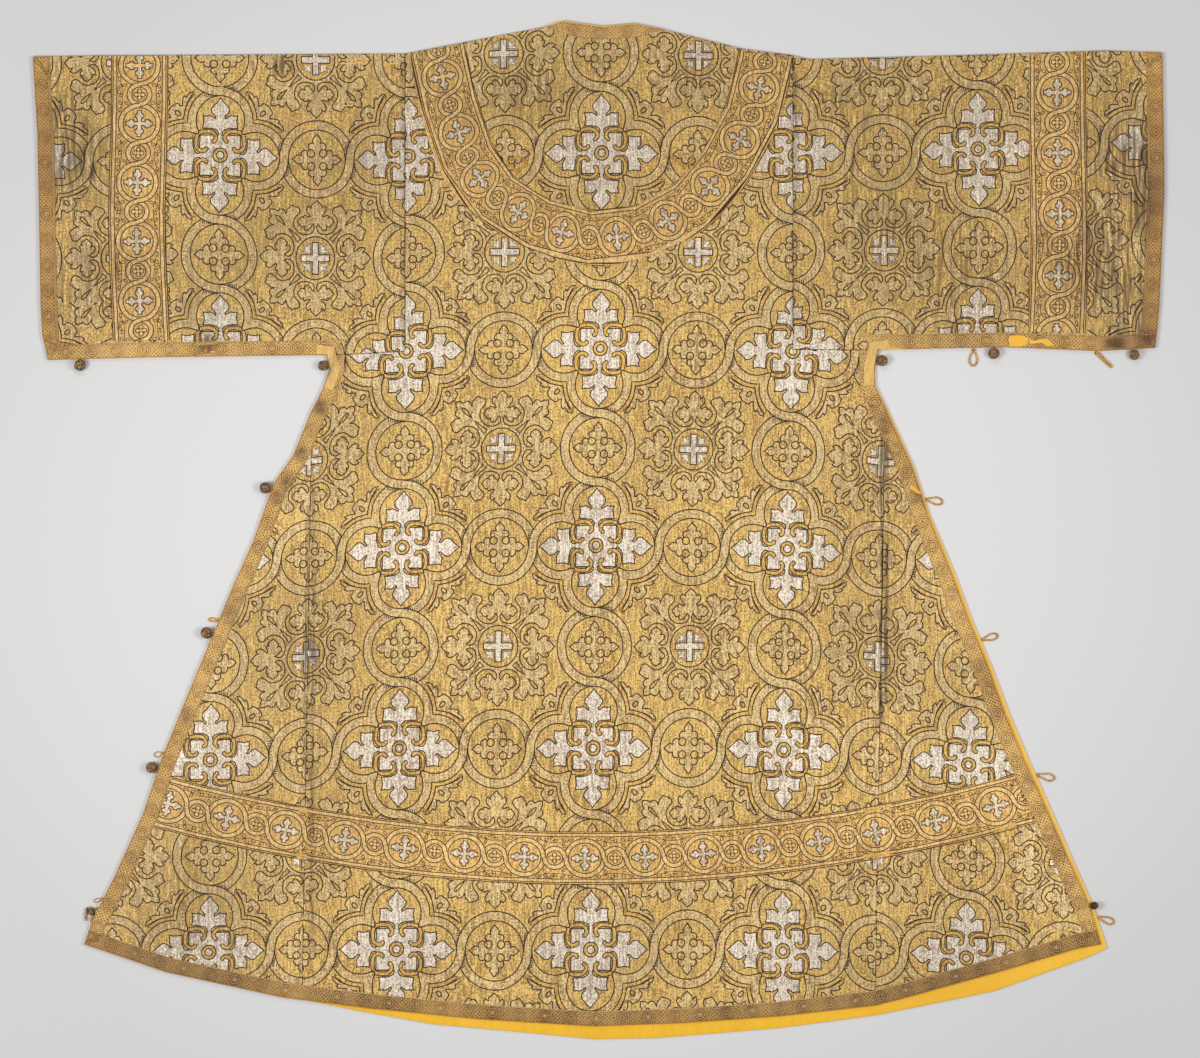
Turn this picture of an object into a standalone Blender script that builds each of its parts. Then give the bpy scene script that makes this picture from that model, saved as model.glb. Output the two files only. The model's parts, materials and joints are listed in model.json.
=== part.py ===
"""Sakkos laid flat, front up: a T-shaped brocade vestment with side gores, bands, galloons, buttons and loops.

The tables are in millimetres and the scene is in metres. +Z is up and the neck points to +Y. The back panels
rest on the ground plane, the lining lies on them, and the front panels lie on the lining with soft folds.
"""

import math
from collections import namedtuple

import bmesh
import bpy
from mathutils import Matrix, Vector
from mathutils.geometry import delaunay_2d_cdt

Spot = namedtuple("Spot", "x y")
Fold = namedtuple("Fold", "x0 y0 x1 y1 height spread")
Button = namedtuple("Button", "name x y size lift")
Loop = namedtuple("Loop", "name x y angle length width cord")
Finish = namedtuple("Finish", "red green blue rough metal")

MM = 0.001

# Walls and clearances
BACK_WALL = 1.2
SLEEVE_BACK_WALL = 2.5
LINING_WALL = 1.0
FRONT_WALL = 1.5
TRIM_WALL = 1.0
GAP = 0.3
SEAM = GAP / 2
LINING_BASE = BACK_WALL + GAP
FRONT_BASE = LINING_BASE + LINING_WALL + GAP

# The front swells from its edges to this height over this distance
SWELL = 2.4
SWELL_REACH = 45.0

# Plan spacing of the front's mesh, and how near to an outline a free point may lie
OUTLINE_STEP = 38.0
FIELD_STEP = 36.0
FIELD_CLEAR = 12.0

# Trims
GALLOON = 19.0
CUFF_GALLOON = 21.0
RIBBON = 12.5
BAND_END_CLEAR = 1.8

# Seam that sets each sleeve into the body
LEFT_ARMHOLE = -247.7
RIGHT_ARMHOLE = 249.0

# Edges of the garment, as points from its neck and cuffs down to its hem
SHOULDERS = (
    Spot(LEFT_ARMHOLE, 609.9),
    Spot(-67.2, 644.5),
    Spot(-46.3, 651.9),
    Spot(5.1, 644.9),
    Spot(46.2, 648.6),
    Spot(84.0, 641.0),
    Spot(183.7, 616.3),
    Spot(RIGHT_ARMHOLE, 607.8),
)
NECK_LOWER = (
    Spot(64.6, 635.9),
    Spot(39.0, 629.6),
    Spot(-1.9, 629.1),
    Spot(-34.8, 633.1),
    Spot(-58.0, 641.0),
)
LEFT_SLEEVE_TOP = (Spot(-723.8, 606.1), Spot(-640.0, 607.5), Spot(LEFT_ARMHOLE, 609.9))
LEFT_CUFF = (
    Spot(-723.8, 606.1),
    Spot(-717.8, 508.0),
    Spot(-715.6, 400.0),
    Spot(-713.8, 290.0),
    Spot(-711.5, 250.0),
    Spot(-704.6, 218.2),
)
LEFT_UNDERARM = (Spot(-704.6, 218.2), Spot(-574.0, 221.5), Spot(-347.9, 224.3))
RIGHT_SLEEVE_TOP = (
    Spot(RIGHT_ARMHOLE, 607.8),
    Spot(269.4, 602.9),
    Spot(470.0, 608.0),
    Spot(650.9, 613.8),
    Spot(721.3, 611.2),
)
RIGHT_CUFF = (
    Spot(721.3, 611.2),
    Spot(723.8, 460.2),
    Spot(723.8, 432.0),
    Spot(717.4, 284.8),
    Spot(712.3, 233.6),
)
RIGHT_UNDERARM = (Spot(712.3, 233.6), Spot(640.0, 229.5), Spot(520.0, 234.5), Spot(357.8, 231.0))
LEFT_GORE_TOP = Spot(-369.3, 148.0)
LEFT_SIDE = (
    Spot(-347.9, 224.3),
    Spot(-344.2, 206.7),
    Spot(-352.8, 181.1),
    Spot(-366.7, 154.2),
    LEFT_GORE_TOP,
    Spot(-391.0, 95.4),
    Spot(-415.4, 60.8),
    Spot(-442.2, -14.7),
    Spot(-466.6, -68.5),
    Spot(-490.9, -127.4),
    Spot(-517.8, -191.4),
    Spot(-558.7, -291.2),
    Spot(-583.0, -362.9),
    Spot(-620.2, -444.8),
    Spot(-648.3, -499.8),
    Spot(-657.8, -529.3),
)
RIGHT_GORE_TOP = Spot(369.6, 150.0)
RIGHT_SIDE = (
    Spot(357.8, 231.0),
    Spot(353.0, 206.7),
    Spot(353.5, 185.0),
    Spot(366.6, 158.0),
    RIGHT_GORE_TOP,
    Spot(401.5, 82.0),
    Spot(421.0, 20.5),
    Spot(450.5, -51.0),
    Spot(474.5, -116.0),
    Spot(498.5, -173.5),
    Spot(520.8, -236.0),
    Spot(544.8, -293.8),
    Spot(576.5, -362.9),
    Spot(604.8, -428.2),
    Spot(628.3, -479.4),
    Spot(643.2, -529.3),
)
RIGHT_SIDE_BACK = (
    Spot(357.8, 231.0),
    Spot(353.5, 206.7),
    Spot(354.5, 185.0),
    Spot(369.3, 156.8),
    Spot(371.9, 151.0),
    Spot(403.8, 81.3),
    Spot(424.3, 19.8),
    Spot(455.0, -51.8),
    Spot(479.4, -117.1),
    Spot(503.7, -174.7),
    Spot(526.7, -236.2),
    Spot(551.0, -293.8),
    Spot(581.8, -362.9),
    Spot(609.9, -428.2),
    Spot(632.9, -479.4),
    Spot(650.9, -534.4),
)
LEFT_SEAM_FOOT = Spot(-379.5, -600.4)
RIGHT_SEAM_FOOT = Spot(353.9, -607.7)
HEM_LEFT = (Spot(-657.8, -529.3), Spot(-552.3, -565.1), Spot(-405.1, -597.1), LEFT_SEAM_FOOT)
HEM_MIDDLE = (
    LEFT_SEAM_FOOT,
    Spot(-295.0, -611.2),
    Spot(-151.7, -625.3),
    Spot(-5.8, -634.2),
    Spot(110.0, -630.0),
    Spot(232.3, -621.4),
    RIGHT_SEAM_FOOT,
)
HEM_RIGHT = (
    RIGHT_SEAM_FOOT,
    Spot(385.9, -599.7),
    Spot(524.2, -561.3),
    Spot(609.9, -535.7),
    Spot(643.2, -529.3),
)
BACK_HEM_MIDDLE = (
    LEFT_SEAM_FOOT,
    Spot(-300.0, -616.0),
    Spot(-213.1, -631.5),
    Spot(-83.8, -643.2),
    Spot(-5.8, -650.9),
    Spot(72.3, -649.6),
    Spot(229.8, -636.8),
    Spot(353.9, -620.4),
)
BACK_HEM_RIGHT = (Spot(353.9, -620.4), Spot(506.2, -589.4), Spot(626.6, -545.9), Spot(650.9, -534.4))

# Bands laid on the front
COLLAR_BAND_OUTER = (
    Spot(-242.5, 608.0),
    Spot(-233.5, 566.3),
    Spot(-226.2, 532.2),
    Spot(-219.9, 507.0),
    Spot(-210.0, 478.3),
    Spot(-198.4, 450.4),
    Spot(-182.3, 427.1),
    Spot(-160.6, 405.5),
    Spot(-137.3, 386.7),
    Spot(-110.3, 371.3),
    Spot(-83.5, 358.8),
    Spot(-56.4, 348.9),
    Spot(-29.6, 341.8),
    Spot(1.9, 338.0),
    Spot(37.9, 343.6),
    Spot(73.7, 355.2),
    Spot(102.5, 367.7),
    Spot(134.9, 384.0),
    Spot(149.2, 395.6),
    Spot(169.0, 418.9),
    Spot(188.8, 442.4),
    Spot(204.0, 465.7),
    Spot(216.6, 490.9),
    Spot(228.6, 523.1),
    Spot(236.4, 544.8),
    Spot(243.6, 569.9),
    Spot(248.0, 605.0),
)
COLLAR_BAND_INNER = (
    Spot(-171.0, 622.8),
    Spot(-166.5, 602.2),
    Spot(-162.4, 578.9),
    Spot(-153.5, 548.4),
    Spot(-146.3, 524.9),
    Spot(-135.6, 498.0),
    Spot(-122.9, 472.8),
    Spot(-105.0, 451.3),
    Spot(-87.0, 437.0),
    Spot(-63.6, 424.4),
    Spot(-38.5, 415.4),
    Spot(1.9, 410.2),
    Spot(43.3, 415.4),
    Spot(70.1, 426.2),
    Spot(91.8, 440.6),
    Spot(110.4, 457.6),
    Spot(128.2, 475.6),
    Spot(136.5, 490.9),
    Spot(148.4, 512.4),
    Spot(156.4, 530.4),
    Spot(163.6, 548.4),
    Spot(169.0, 573.4),
    Spot(173.4, 602.2),
    Spot(176.0, 614.6),
)
HEM_BAND_LOW = Spot(-15.0, -419.0)
HEM_BAND_RISE = 0.000243
LEFT_SLEEVE_BAND = (
    Spot(-623.8, 607.0),
    Spot(-550.3, 607.5),
    Spot(-550.3, 520.0),
    Spot(-552.3, 470.0),
    Spot(-553.8, 400.0),
    Spot(-553.3, 360.0),
    Spot(-551.3, 320.0),
    Spot(-548.8, 266.0),
    Spot(-548.0, 243.5),
    Spot(-621.5, 242.0),
    Spot(-622.0, 266.0),
    Spot(-624.5, 320.0),
    Spot(-626.5, 360.0),
    Spot(-627.0, 400.0),
    Spot(-625.5, 470.0),
    Spot(-623.5, 520.0),
)
RIGHT_SLEEVE_BAND = (
    Spot(550.8, 609.6),
    Spot(624.6, 612.0),
    Spot(625.0, 252.0),
    Spot(550.0, 254.8),
)
HEM_BAND_WIDTH = 68.0
HEM_BAND_REACH = 620.0

# Soft folds of the front: a ridge from one point to another, its height, and its half width
FOLDS = (
    Fold(-368, 130, -377, -560, 2.2, 15),
    Fold(356, 140, 352, -570, 2.4, 16),
    Fold(378, 60, 384, -300, 1.4, 12),
    Fold(-398, 30, -404, -260, 1.1, 13),
    Fold(-668, 570, -655, 300, 1.9, 17),
    Fold(-498, 590, -482, 340, 1.5, 20),
    Fold(-334, 600, -345, 270, 2.2, 18),
    Fold(-430, 560, -400, 470, 1.1, 16),
    Fold(330, 590, 346, 270, 2.4, 17),
    Fold(452, 595, 470, 300, 1.9, 16),
    Fold(522, 570, 505, 290, 2.0, 15),
    Fold(664, 590, 652, 270, 2.2, 15),
    Fold(410, 520, 398, 330, 1.2, 14),
    Fold(-152, 520, -190, -300, 1.3, 42),
    Fold(122, 480, 160, -250, 1.4, 46),
    Fold(2, 150, 12, -560, 1.1, 50),
    Fold(-250, 180, -272, -560, 1.1, 36),
    Fold(250, 200, 268, -520, 1.4, 34),
    Fold(-478, -150, -556, -520, 1.9, 26),
    Fold(440, -60, 556, -500, 2.1, 27),
    Fold(-585, -420, -600, -530, 1.3, 18),
    Fold(470, -330, 486, -560, 1.5, 20),
)

# Wound ball buttons, with the height that each is lifted off the ground
BUTTONS = (
    Button("button_left_sleeve", -662.9, 205.0, 15.4, 0.0),
    Button("button_left_armpit", -356.0, 210.0, 13.5, 0.0),
    Button("button_left_side_1", -430.0, 56.0, 15.4, 0.0),
    Button("button_left_side_2", -508.0, -128.0, 15.6, 0.0),
    Button("button_left_side_3", -574.0, -302.0, 15.4, 0.0),
    Button("button_left_hem", -660.0, -483.0, 12.5, 0.0),
    Button("button_right_armpit", 364.0, 217.0, 14.6, 0.0),
    Button("button_right_sleeve_1", 505.6, 222.0, 15.0, 0.0),
    Button("button_right_sleeve_2", 685.4, 220.0, 14.0, 0.0),
    Button("button_right_hem", 637.0, -478.5, 10.5, FRONT_BASE),
)
BUTTON_AROUND = 12
BUTTON_RINGS = 8

# Cord loops at the edges: the edge point, the way each points, in degrees, and its length and width
LOOPS = (
    Loop("loop_right_sleeve_1", 480.3, 225.0, -92, 22.0, 12.5, 2.6),
    Loop("loop_right_sleeve_2", 638.0, 222.0, -45, 25.0, 10.5, 2.6),
    Loop("loop_right_side_1", 424.0, 41.5, -10, 22.0, 11.5, 2.6),
    Loop("loop_right_side_2", 495.0, -138.0, 16, 21.5, 10.5, 2.6),
    Loop("loop_right_side_3", 565.0, -311.0, -12, 23.5, 11.5, 2.6),
    Loop("loop_right_side_4", 641.0, -494.5, -19, 22.0, 11.0, 2.6),
    Loop("loop_left_side_1", -492.0, -112.5, 178, 12.5, 6.4, 2.4),
    Loop("loop_left_side_2", -560.0, -283.5, 196, 12.0, 8.0, 1.6),
    Loop("loop_left_hem", -641.0, -468.0, 200, 12.0, 6.0, 1.5),
)
COLLAR_LOOPS = (
    Loop("loop_collar_left", -103.7, 457.4, 92, 20.5, 26.0, 2.4),
    Loop("loop_collar_right", 109.4, 463.0, 87, 19.5, 25.0, 2.4),
)
LOOP_ROOT = 1.75
LOOP_CLEAR = 0.35
FLOOR_CLEAR = 0.05
LOOP_POINTS = 16
LOOP_HEAD_STEPS = 8
LOOP_HEAD_TURN = 110.0

BROCADE = Finish(0.55, 0.39, 0.16, 0.55, 0.25)
BAND = Finish(0.58, 0.40, 0.17, 0.50, 0.30)
GOLD_BRAID = Finish(0.52, 0.30, 0.07, 0.45, 0.35)
PLAIN_RIBBON = Finish(0.66, 0.42, 0.12, 0.50, 0.10)
YELLOW_SILK = Finish(0.80, 0.52, 0.02, 0.40, 0.00)
WOUND_THREAD = Finish(0.16, 0.07, 0.03, 0.60, 0.20)
GOLD_CORD = Finish(0.50, 0.27, 0.05, 0.50, 0.15)


def material(name, finish):
    """One Principled material with the finish's colour."""
    made = bpy.data.materials.new(name)
    made.use_nodes = True
    shader = made.node_tree.nodes["Principled BSDF"]
    shader.inputs["Base Color"].default_value = (finish.red, finish.green, finish.blue, 1.0)
    shader.inputs["Roughness"].default_value = finish.rough
    shader.inputs["Metallic"].default_value = finish.metal
    return made


def dense(path):
    """The path with more points on its long runs, so that it can follow the folds."""
    found = [Spot(*path[0])]
    for start, end in zip(path, path[1:]):
        steps = max(1, round(math.dist(start, end) / OUTLINE_STEP))
        for i in range(1, steps + 1):
            t = i / steps
            found.append(Spot(start[0] + (end[0] - start[0]) * t, start[1] + (end[1] - start[1]) * t))
    return found


def beside(path, distance):
    """The path moved to its left by the distance."""
    found = []
    for i, spot in enumerate(path):
        before = path[max(0, i - 1)]
        after = path[min(len(path) - 1, i + 1)]
        run = math.dist(before, after)
        across = Spot((before[1] - after[1]) / run, (after[0] - before[0]) / run)
        found.append(Spot(spot[0] + across[0] * distance, spot[1] + across[1] * distance))
    return found


def without_ends(path, first, last):
    """The path shortened by a length at its first and last ends."""
    for length, at_end in ((first, False), (last, True)):
        path = list(reversed(path)) if at_end else list(path)
        while length > 0 and math.dist(path[0], path[1]) <= length:
            length -= math.dist(path[0], path[1])
            path = path[1:]
        if length > 0:
            t = length / math.dist(path[0], path[1])
            cut = Spot(path[0][0] + (path[1][0] - path[0][0]) * t, path[0][1] + (path[1][1] - path[0][1]) * t)
            path = [cut] + path[1:]
        path = list(reversed(path)) if at_end else path
    return path


def moved(path, x, y):
    """The path moved by x and y."""
    return [Spot(spot[0] + x, spot[1] + y) for spot in path]


def nearest(path, x, y):
    """The distance from a point to a path, and the path's nearest point."""
    best = (1e9, Spot(0, 0))
    for start, end in zip(path, path[1:]):
        run_x, run_y = end[0] - start[0], end[1] - start[1]
        length = run_x * run_x + run_y * run_y
        t = ((x - start[0]) * run_x + (y - start[1]) * run_y) / length if length else 0.0
        t = min(1.0, max(0.0, t))
        foot = Spot(start[0] + run_x * t, start[1] + run_y * t)
        best = min(best, (math.dist(foot, (x, y)), foot))
    return best


def inside(polygon, x, y):
    """Whether a point lies in a closed polygon."""
    found = False
    for (x0, y0), (x1, y1) in zip(polygon, polygon[1:] + polygon[:1]):
        if (y0 > y) != (y1 > y) and x < (x1 - x0) * (y - y0) / (y1 - y0) + x0:
            found = not found
    return found


def front_panels():
    """The outlines of the five front pieces, each SEAM short of the seams that it shares."""
    shoulders = dense(SHOULDERS)
    shoulders[0] = Spot(LEFT_ARMHOLE + SEAM, shoulders[0].y)
    shoulders[-1] = Spot(RIGHT_ARMHOLE - SEAM, shoulders[-1].y)
    left_side, right_side = dense(LEFT_SIDE), dense(RIGHT_SIDE)
    left_top, right_top = left_side.index(LEFT_GORE_TOP), right_side.index(RIGHT_GORE_TOP)
    left_wing = moved(dense((LEFT_SIDE[0], Spot(LEFT_ARMHOLE + SEAM, 229.5))), 0, -SEAM)
    right_wing = moved(dense((Spot(RIGHT_ARMHOLE - SEAM, 232.0), RIGHT_SIDE[0])), 0, -SEAM)
    left_seam = dense((left_side[left_top - 1], LEFT_SEAM_FOOT))
    right_seam = dense((right_side[right_top - 1], RIGHT_SEAM_FOOT))
    body_hem = dense(HEM_MIDDLE)
    body = (
        shoulders
        + right_wing
        + right_side[1:right_top]
        + moved(right_seam[1:], -SEAM, 0)
        + body_hem[-2:0:-1]
        + moved(left_seam[:0:-1], SEAM, 0)
        + left_side[left_top - 1 : 0 : -1]
        + left_wing
    )
    left_gore = left_side[left_top:] + dense(HEM_LEFT)[1:-1] + moved(left_seam[:0:-1], -SEAM, 0)
    left_gore.append(Spot(LEFT_GORE_TOP.x + 2.0, LEFT_GORE_TOP.y))
    right_gore = right_side[right_top:] + dense(HEM_RIGHT)[-2:0:-1] + moved(right_seam[:0:-1], SEAM, 0)
    right_gore.append(Spot(RIGHT_GORE_TOP.x - 2.0, RIGHT_GORE_TOP.y))
    left_armhole = Spot(LEFT_ARMHOLE - SEAM, 229.5)
    right_armhole = Spot(RIGHT_ARMHOLE + SEAM, 232.0)
    left_sleeve = (
        dense(LEFT_SLEEVE_TOP)[:-1]
        + dense((Spot(LEFT_ARMHOLE - SEAM, 609.9), moved([left_armhole], 0, SEAM)[0]))
        + moved(dense((left_armhole, LEFT_SIDE[0])), 0, SEAM)[1:-1]
        + dense(LEFT_UNDERARM)[:0:-1]
        + dense(LEFT_CUFF)[:0:-1]
    )
    right_sleeve = (
        dense(RIGHT_SLEEVE_TOP)[1:]
        + dense(RIGHT_CUFF)[1:]
        + dense(RIGHT_UNDERARM)[1:]
        + moved(dense((RIGHT_SIDE[0], right_armhole)), 0, SEAM)[1:-1]
        + dense((moved([right_armhole], 0, SEAM)[0], Spot(RIGHT_ARMHOLE + SEAM, 607.8)))
    )
    return {
        "front_body": body,
        "front_gore_left": left_gore,
        "front_gore_right": right_gore,
        "front_sleeve_left": left_sleeve,
        "front_sleeve_right": right_sleeve,
    }


def hem_edge():
    """The whole front hem, from the left corner to the right one."""
    return dense(HEM_LEFT)[:-1] + dense(HEM_MIDDLE) + dense(HEM_RIGHT)[1:]


def strip(edge, width, first_inner, last_inner):
    """A strip of this width along an edge, with its two inner corners given."""
    inner = beside(edge, width)
    return list(edge) + [last_inner] + inner[-2:0:-1] + [first_inner]


def galloons():
    """The outlines of the woven braids along the edges of the front."""
    hem = hem_edge()
    left_side, right_side = dense(LEFT_SIDE), dense(RIGHT_SIDE)
    left_side[0] = Spot(left_side[0].x, left_side[0].y - SEAM)
    right_side[0] = Spot(right_side[0].x, right_side[0].y - SEAM)
    left_side = without_ends(left_side, 0, GALLOON + GAP)
    right_side = without_ends(right_side, 0, GALLOON + GAP)
    left_underarm, right_underarm = dense(LEFT_UNDERARM), dense(RIGHT_UNDERARM)
    left_cuff = without_ends(dense(LEFT_CUFF), 0, GALLOON + 5.0 + GAP)
    right_cuff = without_ends(dense(RIGHT_CUFF), 0, GALLOON + GAP)
    hem_first = without_ends(dense(LEFT_SIDE), 0, GALLOON)[-1]
    hem_last = without_ends(dense(RIGHT_SIDE), 0, GALLOON)[-1]
    left_foot, right_foot = left_side[-1], right_side[-1]
    return {
        "hem_galloon": strip(hem, GALLOON, hem_first, hem_last),
        "side_galloon_left": strip(
            left_side, GALLOON, Spot(-325.5, 225.0), Spot(left_foot.x + 18.0, left_foot.y - 6.0)
        ),
        "side_galloon_right": strip(
            right_side, -GALLOON, Spot(333.5, 230.9), Spot(right_foot.x - 18.6, right_foot.y - 3.6)
        ),
        "underarm_galloon_left": strip(
            left_underarm, GALLOON, Spot(-709.0, 242.0), Spot(-325.5, 244.0)
        ),
        "underarm_galloon_right": strip(
            right_underarm, -GALLOON, Spot(714.1, 252.4), Spot(333.5, 250.5)
        ),
        "cuff_galloon_left": strip(left_cuff, CUFF_GALLOON, Spot(-702.4, 606.4), Spot(-690.5, 242.6)),
        "cuff_galloon_right": strip(right_cuff, -CUFF_GALLOON, Spot(700.0, 611.8), Spot(693.0, 252.2)),
        "neck_galloon": dense(SHOULDERS[1:-2]) + list(NECK_LOWER),
    }


def collar_band():
    """The U-shaped band, whose ends are cut along the shoulders."""
    return list(COLLAR_BAND_OUTER + COLLAR_BAND_INNER[::-1])


def hem_band(left_side, right_side):
    """The bowed band above the hem, which ends just short of the side galloons."""
    centre = []
    count = round(2 * HEM_BAND_REACH / OUTLINE_STEP)
    for i in range(count + 1):
        x = -HEM_BAND_REACH + 2 * HEM_BAND_REACH * i / count
        centre.append(Spot(x, HEM_BAND_LOW.y + HEM_BAND_RISE * (x - HEM_BAND_LOW.x) ** 2))
    body = left_side + right_side[::-1]
    found = []
    for side in (beside(centre, -HEM_BAND_WIDTH / 2), beside(centre, HEM_BAND_WIDTH / 2)):
        kept = [spot for spot in side if inside(body, *spot)]
        first, last = side.index(kept[0]), side.index(kept[-1])
        ends = []
        for out, into in ((side[first - 1], kept[0]), (side[last + 1], kept[-1])):
            low, high = 0.0, 1.0
            for _ in range(40):
                t = (low + high) / 2
                spot = Spot(into.x + (out.x - into.x) * t, into.y + (out.y - into.y) * t)
                low, high = (t, high) if inside(body, *spot) else (low, t)
            ends.append(spot)
        found.append([ends[0]] + kept[1:-1] + [ends[1]])
    return found[0] + found[1][::-1]


def ribbon(edge, into, width):
    """A plain ribbon bent round an armpit: the edge, its inner side, and their ends."""
    return list(edge) + beside(edge, width * into)[::-1]


def armpit_ribbons():
    """The outlines of the two plain ribbons, which lie on the galloons at the armpits."""
    left = (Spot(-361.0, 225.7), Spot(-347.0, 225.7), Spot(-342.8, 206.8), Spot(-351.0, 182.5))
    right = (Spot(372.0, 232.6), Spot(356.6, 232.4), Spot(351.8, 206.6), Spot(352.2, 186.0))
    return {
        "armpit_ribbon_left": ribbon(left, 1, RIBBON),
        "armpit_ribbon_right": ribbon(right, -1, RIBBON),
    }


def fold_height(x, y):
    """The sum of the soft folds at a point of the front."""
    total = 0.0
    for fold in FOLDS:
        away = nearest(((fold.x0, fold.y0), (fold.x1, fold.y1)), x, y)[0]
        total += fold.height * math.exp(-((away / fold.spread) ** 2))
    return total


def front_lift(x, y, outline):
    """The height of the front's underside: low at the edges, then swelling, with the folds on it."""
    away = nearest(outline, x, y)[0]
    ease = 1.0 - math.exp(-((away / SWELL_REACH) ** 1.5))
    return FRONT_BASE + ease * (SWELL + fold_height(x, y))


def field_points(outlines, boundary):
    """Staggered free points inside the front, clear of every outline."""
    found = []
    row, y = 0, -640.0
    while y < 650.0:
        x = -720.0 + (FIELD_STEP / 2 if row % 2 else 0.0)
        while x < 720.0:
            if inside(boundary, x, y) and all(nearest(path, x, y)[0] > FIELD_CLEAR for path in outlines):
                found.append(Spot(x, y))
            x += FIELD_STEP
        y += FIELD_STEP * 0.87
        row += 1
    return found


def plan_mesh(outlines, free):
    """One flat triangle mesh whose edges include every outline: its points and its triangles."""
    points, edges = [], []
    for path in outlines:
        first = len(points)
        points.extend(Vector(spot) for spot in path)
        edges.extend((first + i, first + (i + 1) % len(path)) for i in range(len(path)))
    points.extend(Vector(spot) for spot in free)
    made = delaunay_2d_cdt(points, edges, [], 0, 1e-4)
    return made[0], made[2]


def pieces_of(points, faces, outline):
    """The triangles whose middles lie in an outline."""
    found = []
    for face in faces:
        x = sum(points[i][0] for i in face) / len(face)
        y = sum(points[i][1] for i in face) / len(face)
        if inside(outline, x, y):
            found.append(face)
    return found


def sheet(name, points, faces, low, high, finish):
    """A closed wall over flat triangles, between two heights for each point, in a new object."""
    used = sorted({i for face in faces for i in face})
    mesh = bmesh.new()
    bottom = {i: mesh.verts.new((points[i][0] * MM, points[i][1] * MM, low[i] * MM)) for i in used}
    top = {i: mesh.verts.new((points[i][0] * MM, points[i][1] * MM, high[i] * MM)) for i in used}
    shared = {}
    for face in faces:
        mesh.faces.new([top[i] for i in face])
        mesh.faces.new([bottom[i] for i in reversed(face)])
        for a, b in zip(face, face[1:] + face[:1]):
            shared[(a, b)] = shared.get((b, a), 0) + 1
            if (b, a) in shared:
                shared[(b, a)] += 1
    for a, b in list(shared):
        if (b, a) not in shared:
            mesh.faces.new((bottom[a], bottom[b], top[b], top[a]))
    data = bpy.data.meshes.new(name)
    mesh.to_mesh(data)
    mesh.free()
    data.materials.append(finish)
    placed = bpy.data.objects.new(name, data)
    bpy.context.scene.collection.objects.link(placed)
    return placed


def flat_sheet(name, outline, low, high, finish):
    """A flat sheet of even thickness inside an outline."""
    points, faces = plan_mesh([outline], [])
    kept = pieces_of(points, faces, outline)
    return sheet(name, points, kept, [low] * len(points), [high] * len(points), finish)


def make_front(finishes):
    """The front panels, and on them the bands, galloons and ribbons, all from one mesh of points."""
    panels = front_panels()
    trims = galloons()
    left_inner = beside(dense(LEFT_SIDE), GALLOON + BAND_END_CLEAR)
    right_inner = beside(dense(RIGHT_SIDE), -GALLOON - BAND_END_CLEAR)
    trims["collar_band"] = collar_band()
    trims["hem_band"] = hem_band(left_inner, right_inner)
    trims["sleeve_band_left"] = list(LEFT_SLEEVE_BAND)
    trims["sleeve_band_right"] = list(RIGHT_SLEEVE_BAND)
    for name in ("sleeve_band_left", "sleeve_band_right"):
        closed = dense(trims[name] + trims[name][:1])
        trims[name] = closed[:-1]
    ribbons = armpit_ribbons()
    outlines = list(panels.values()) + list(trims.values()) + list(ribbons.values())
    edge = front_edge()
    points, faces = plan_mesh(outlines, field_points(outlines, edge))
    low = [front_lift(point[0], point[1], edge + edge[:1]) for point in points]
    high = [z + FRONT_WALL for z in low]
    for name, outline in panels.items():
        sheet(name, points, pieces_of(points, faces, outline), low, high, finishes["brocade"])
    trim_low = [z + GAP for z in high]
    trim_high = [z + TRIM_WALL for z in trim_low]
    for name, outline in trims.items():
        finish = finishes["band"] if "band" in name else finishes["braid"]
        sheet(name, points, pieces_of(points, faces, outline), trim_low, trim_high, finish)
    ribbon_low = [z + GAP for z in trim_high]
    ribbon_high = [z + TRIM_WALL for z in ribbon_low]
    for name, outline in ribbons.items():
        kept = pieces_of(points, faces, outline)
        sheet(name, points, kept, ribbon_low, ribbon_high, finishes["ribbon"])


def front_edge():
    """The whole outline of the front, sleeves and all."""
    return (
        dense(LEFT_SLEEVE_TOP)[:-1]
        + dense(SHOULDERS)
        + dense(RIGHT_SLEEVE_TOP)[1:]
        + dense(RIGHT_CUFF)[1:]
        + dense(RIGHT_UNDERARM)[1:]
        + dense(RIGHT_SIDE)[1:]
        + hem_edge()[-2::-1]
        + dense(LEFT_SIDE)[-2:0:-1]
        + dense(LEFT_UNDERARM)[:0:-1]
        + dense(LEFT_CUFF)[:0:-1]
    )


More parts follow.
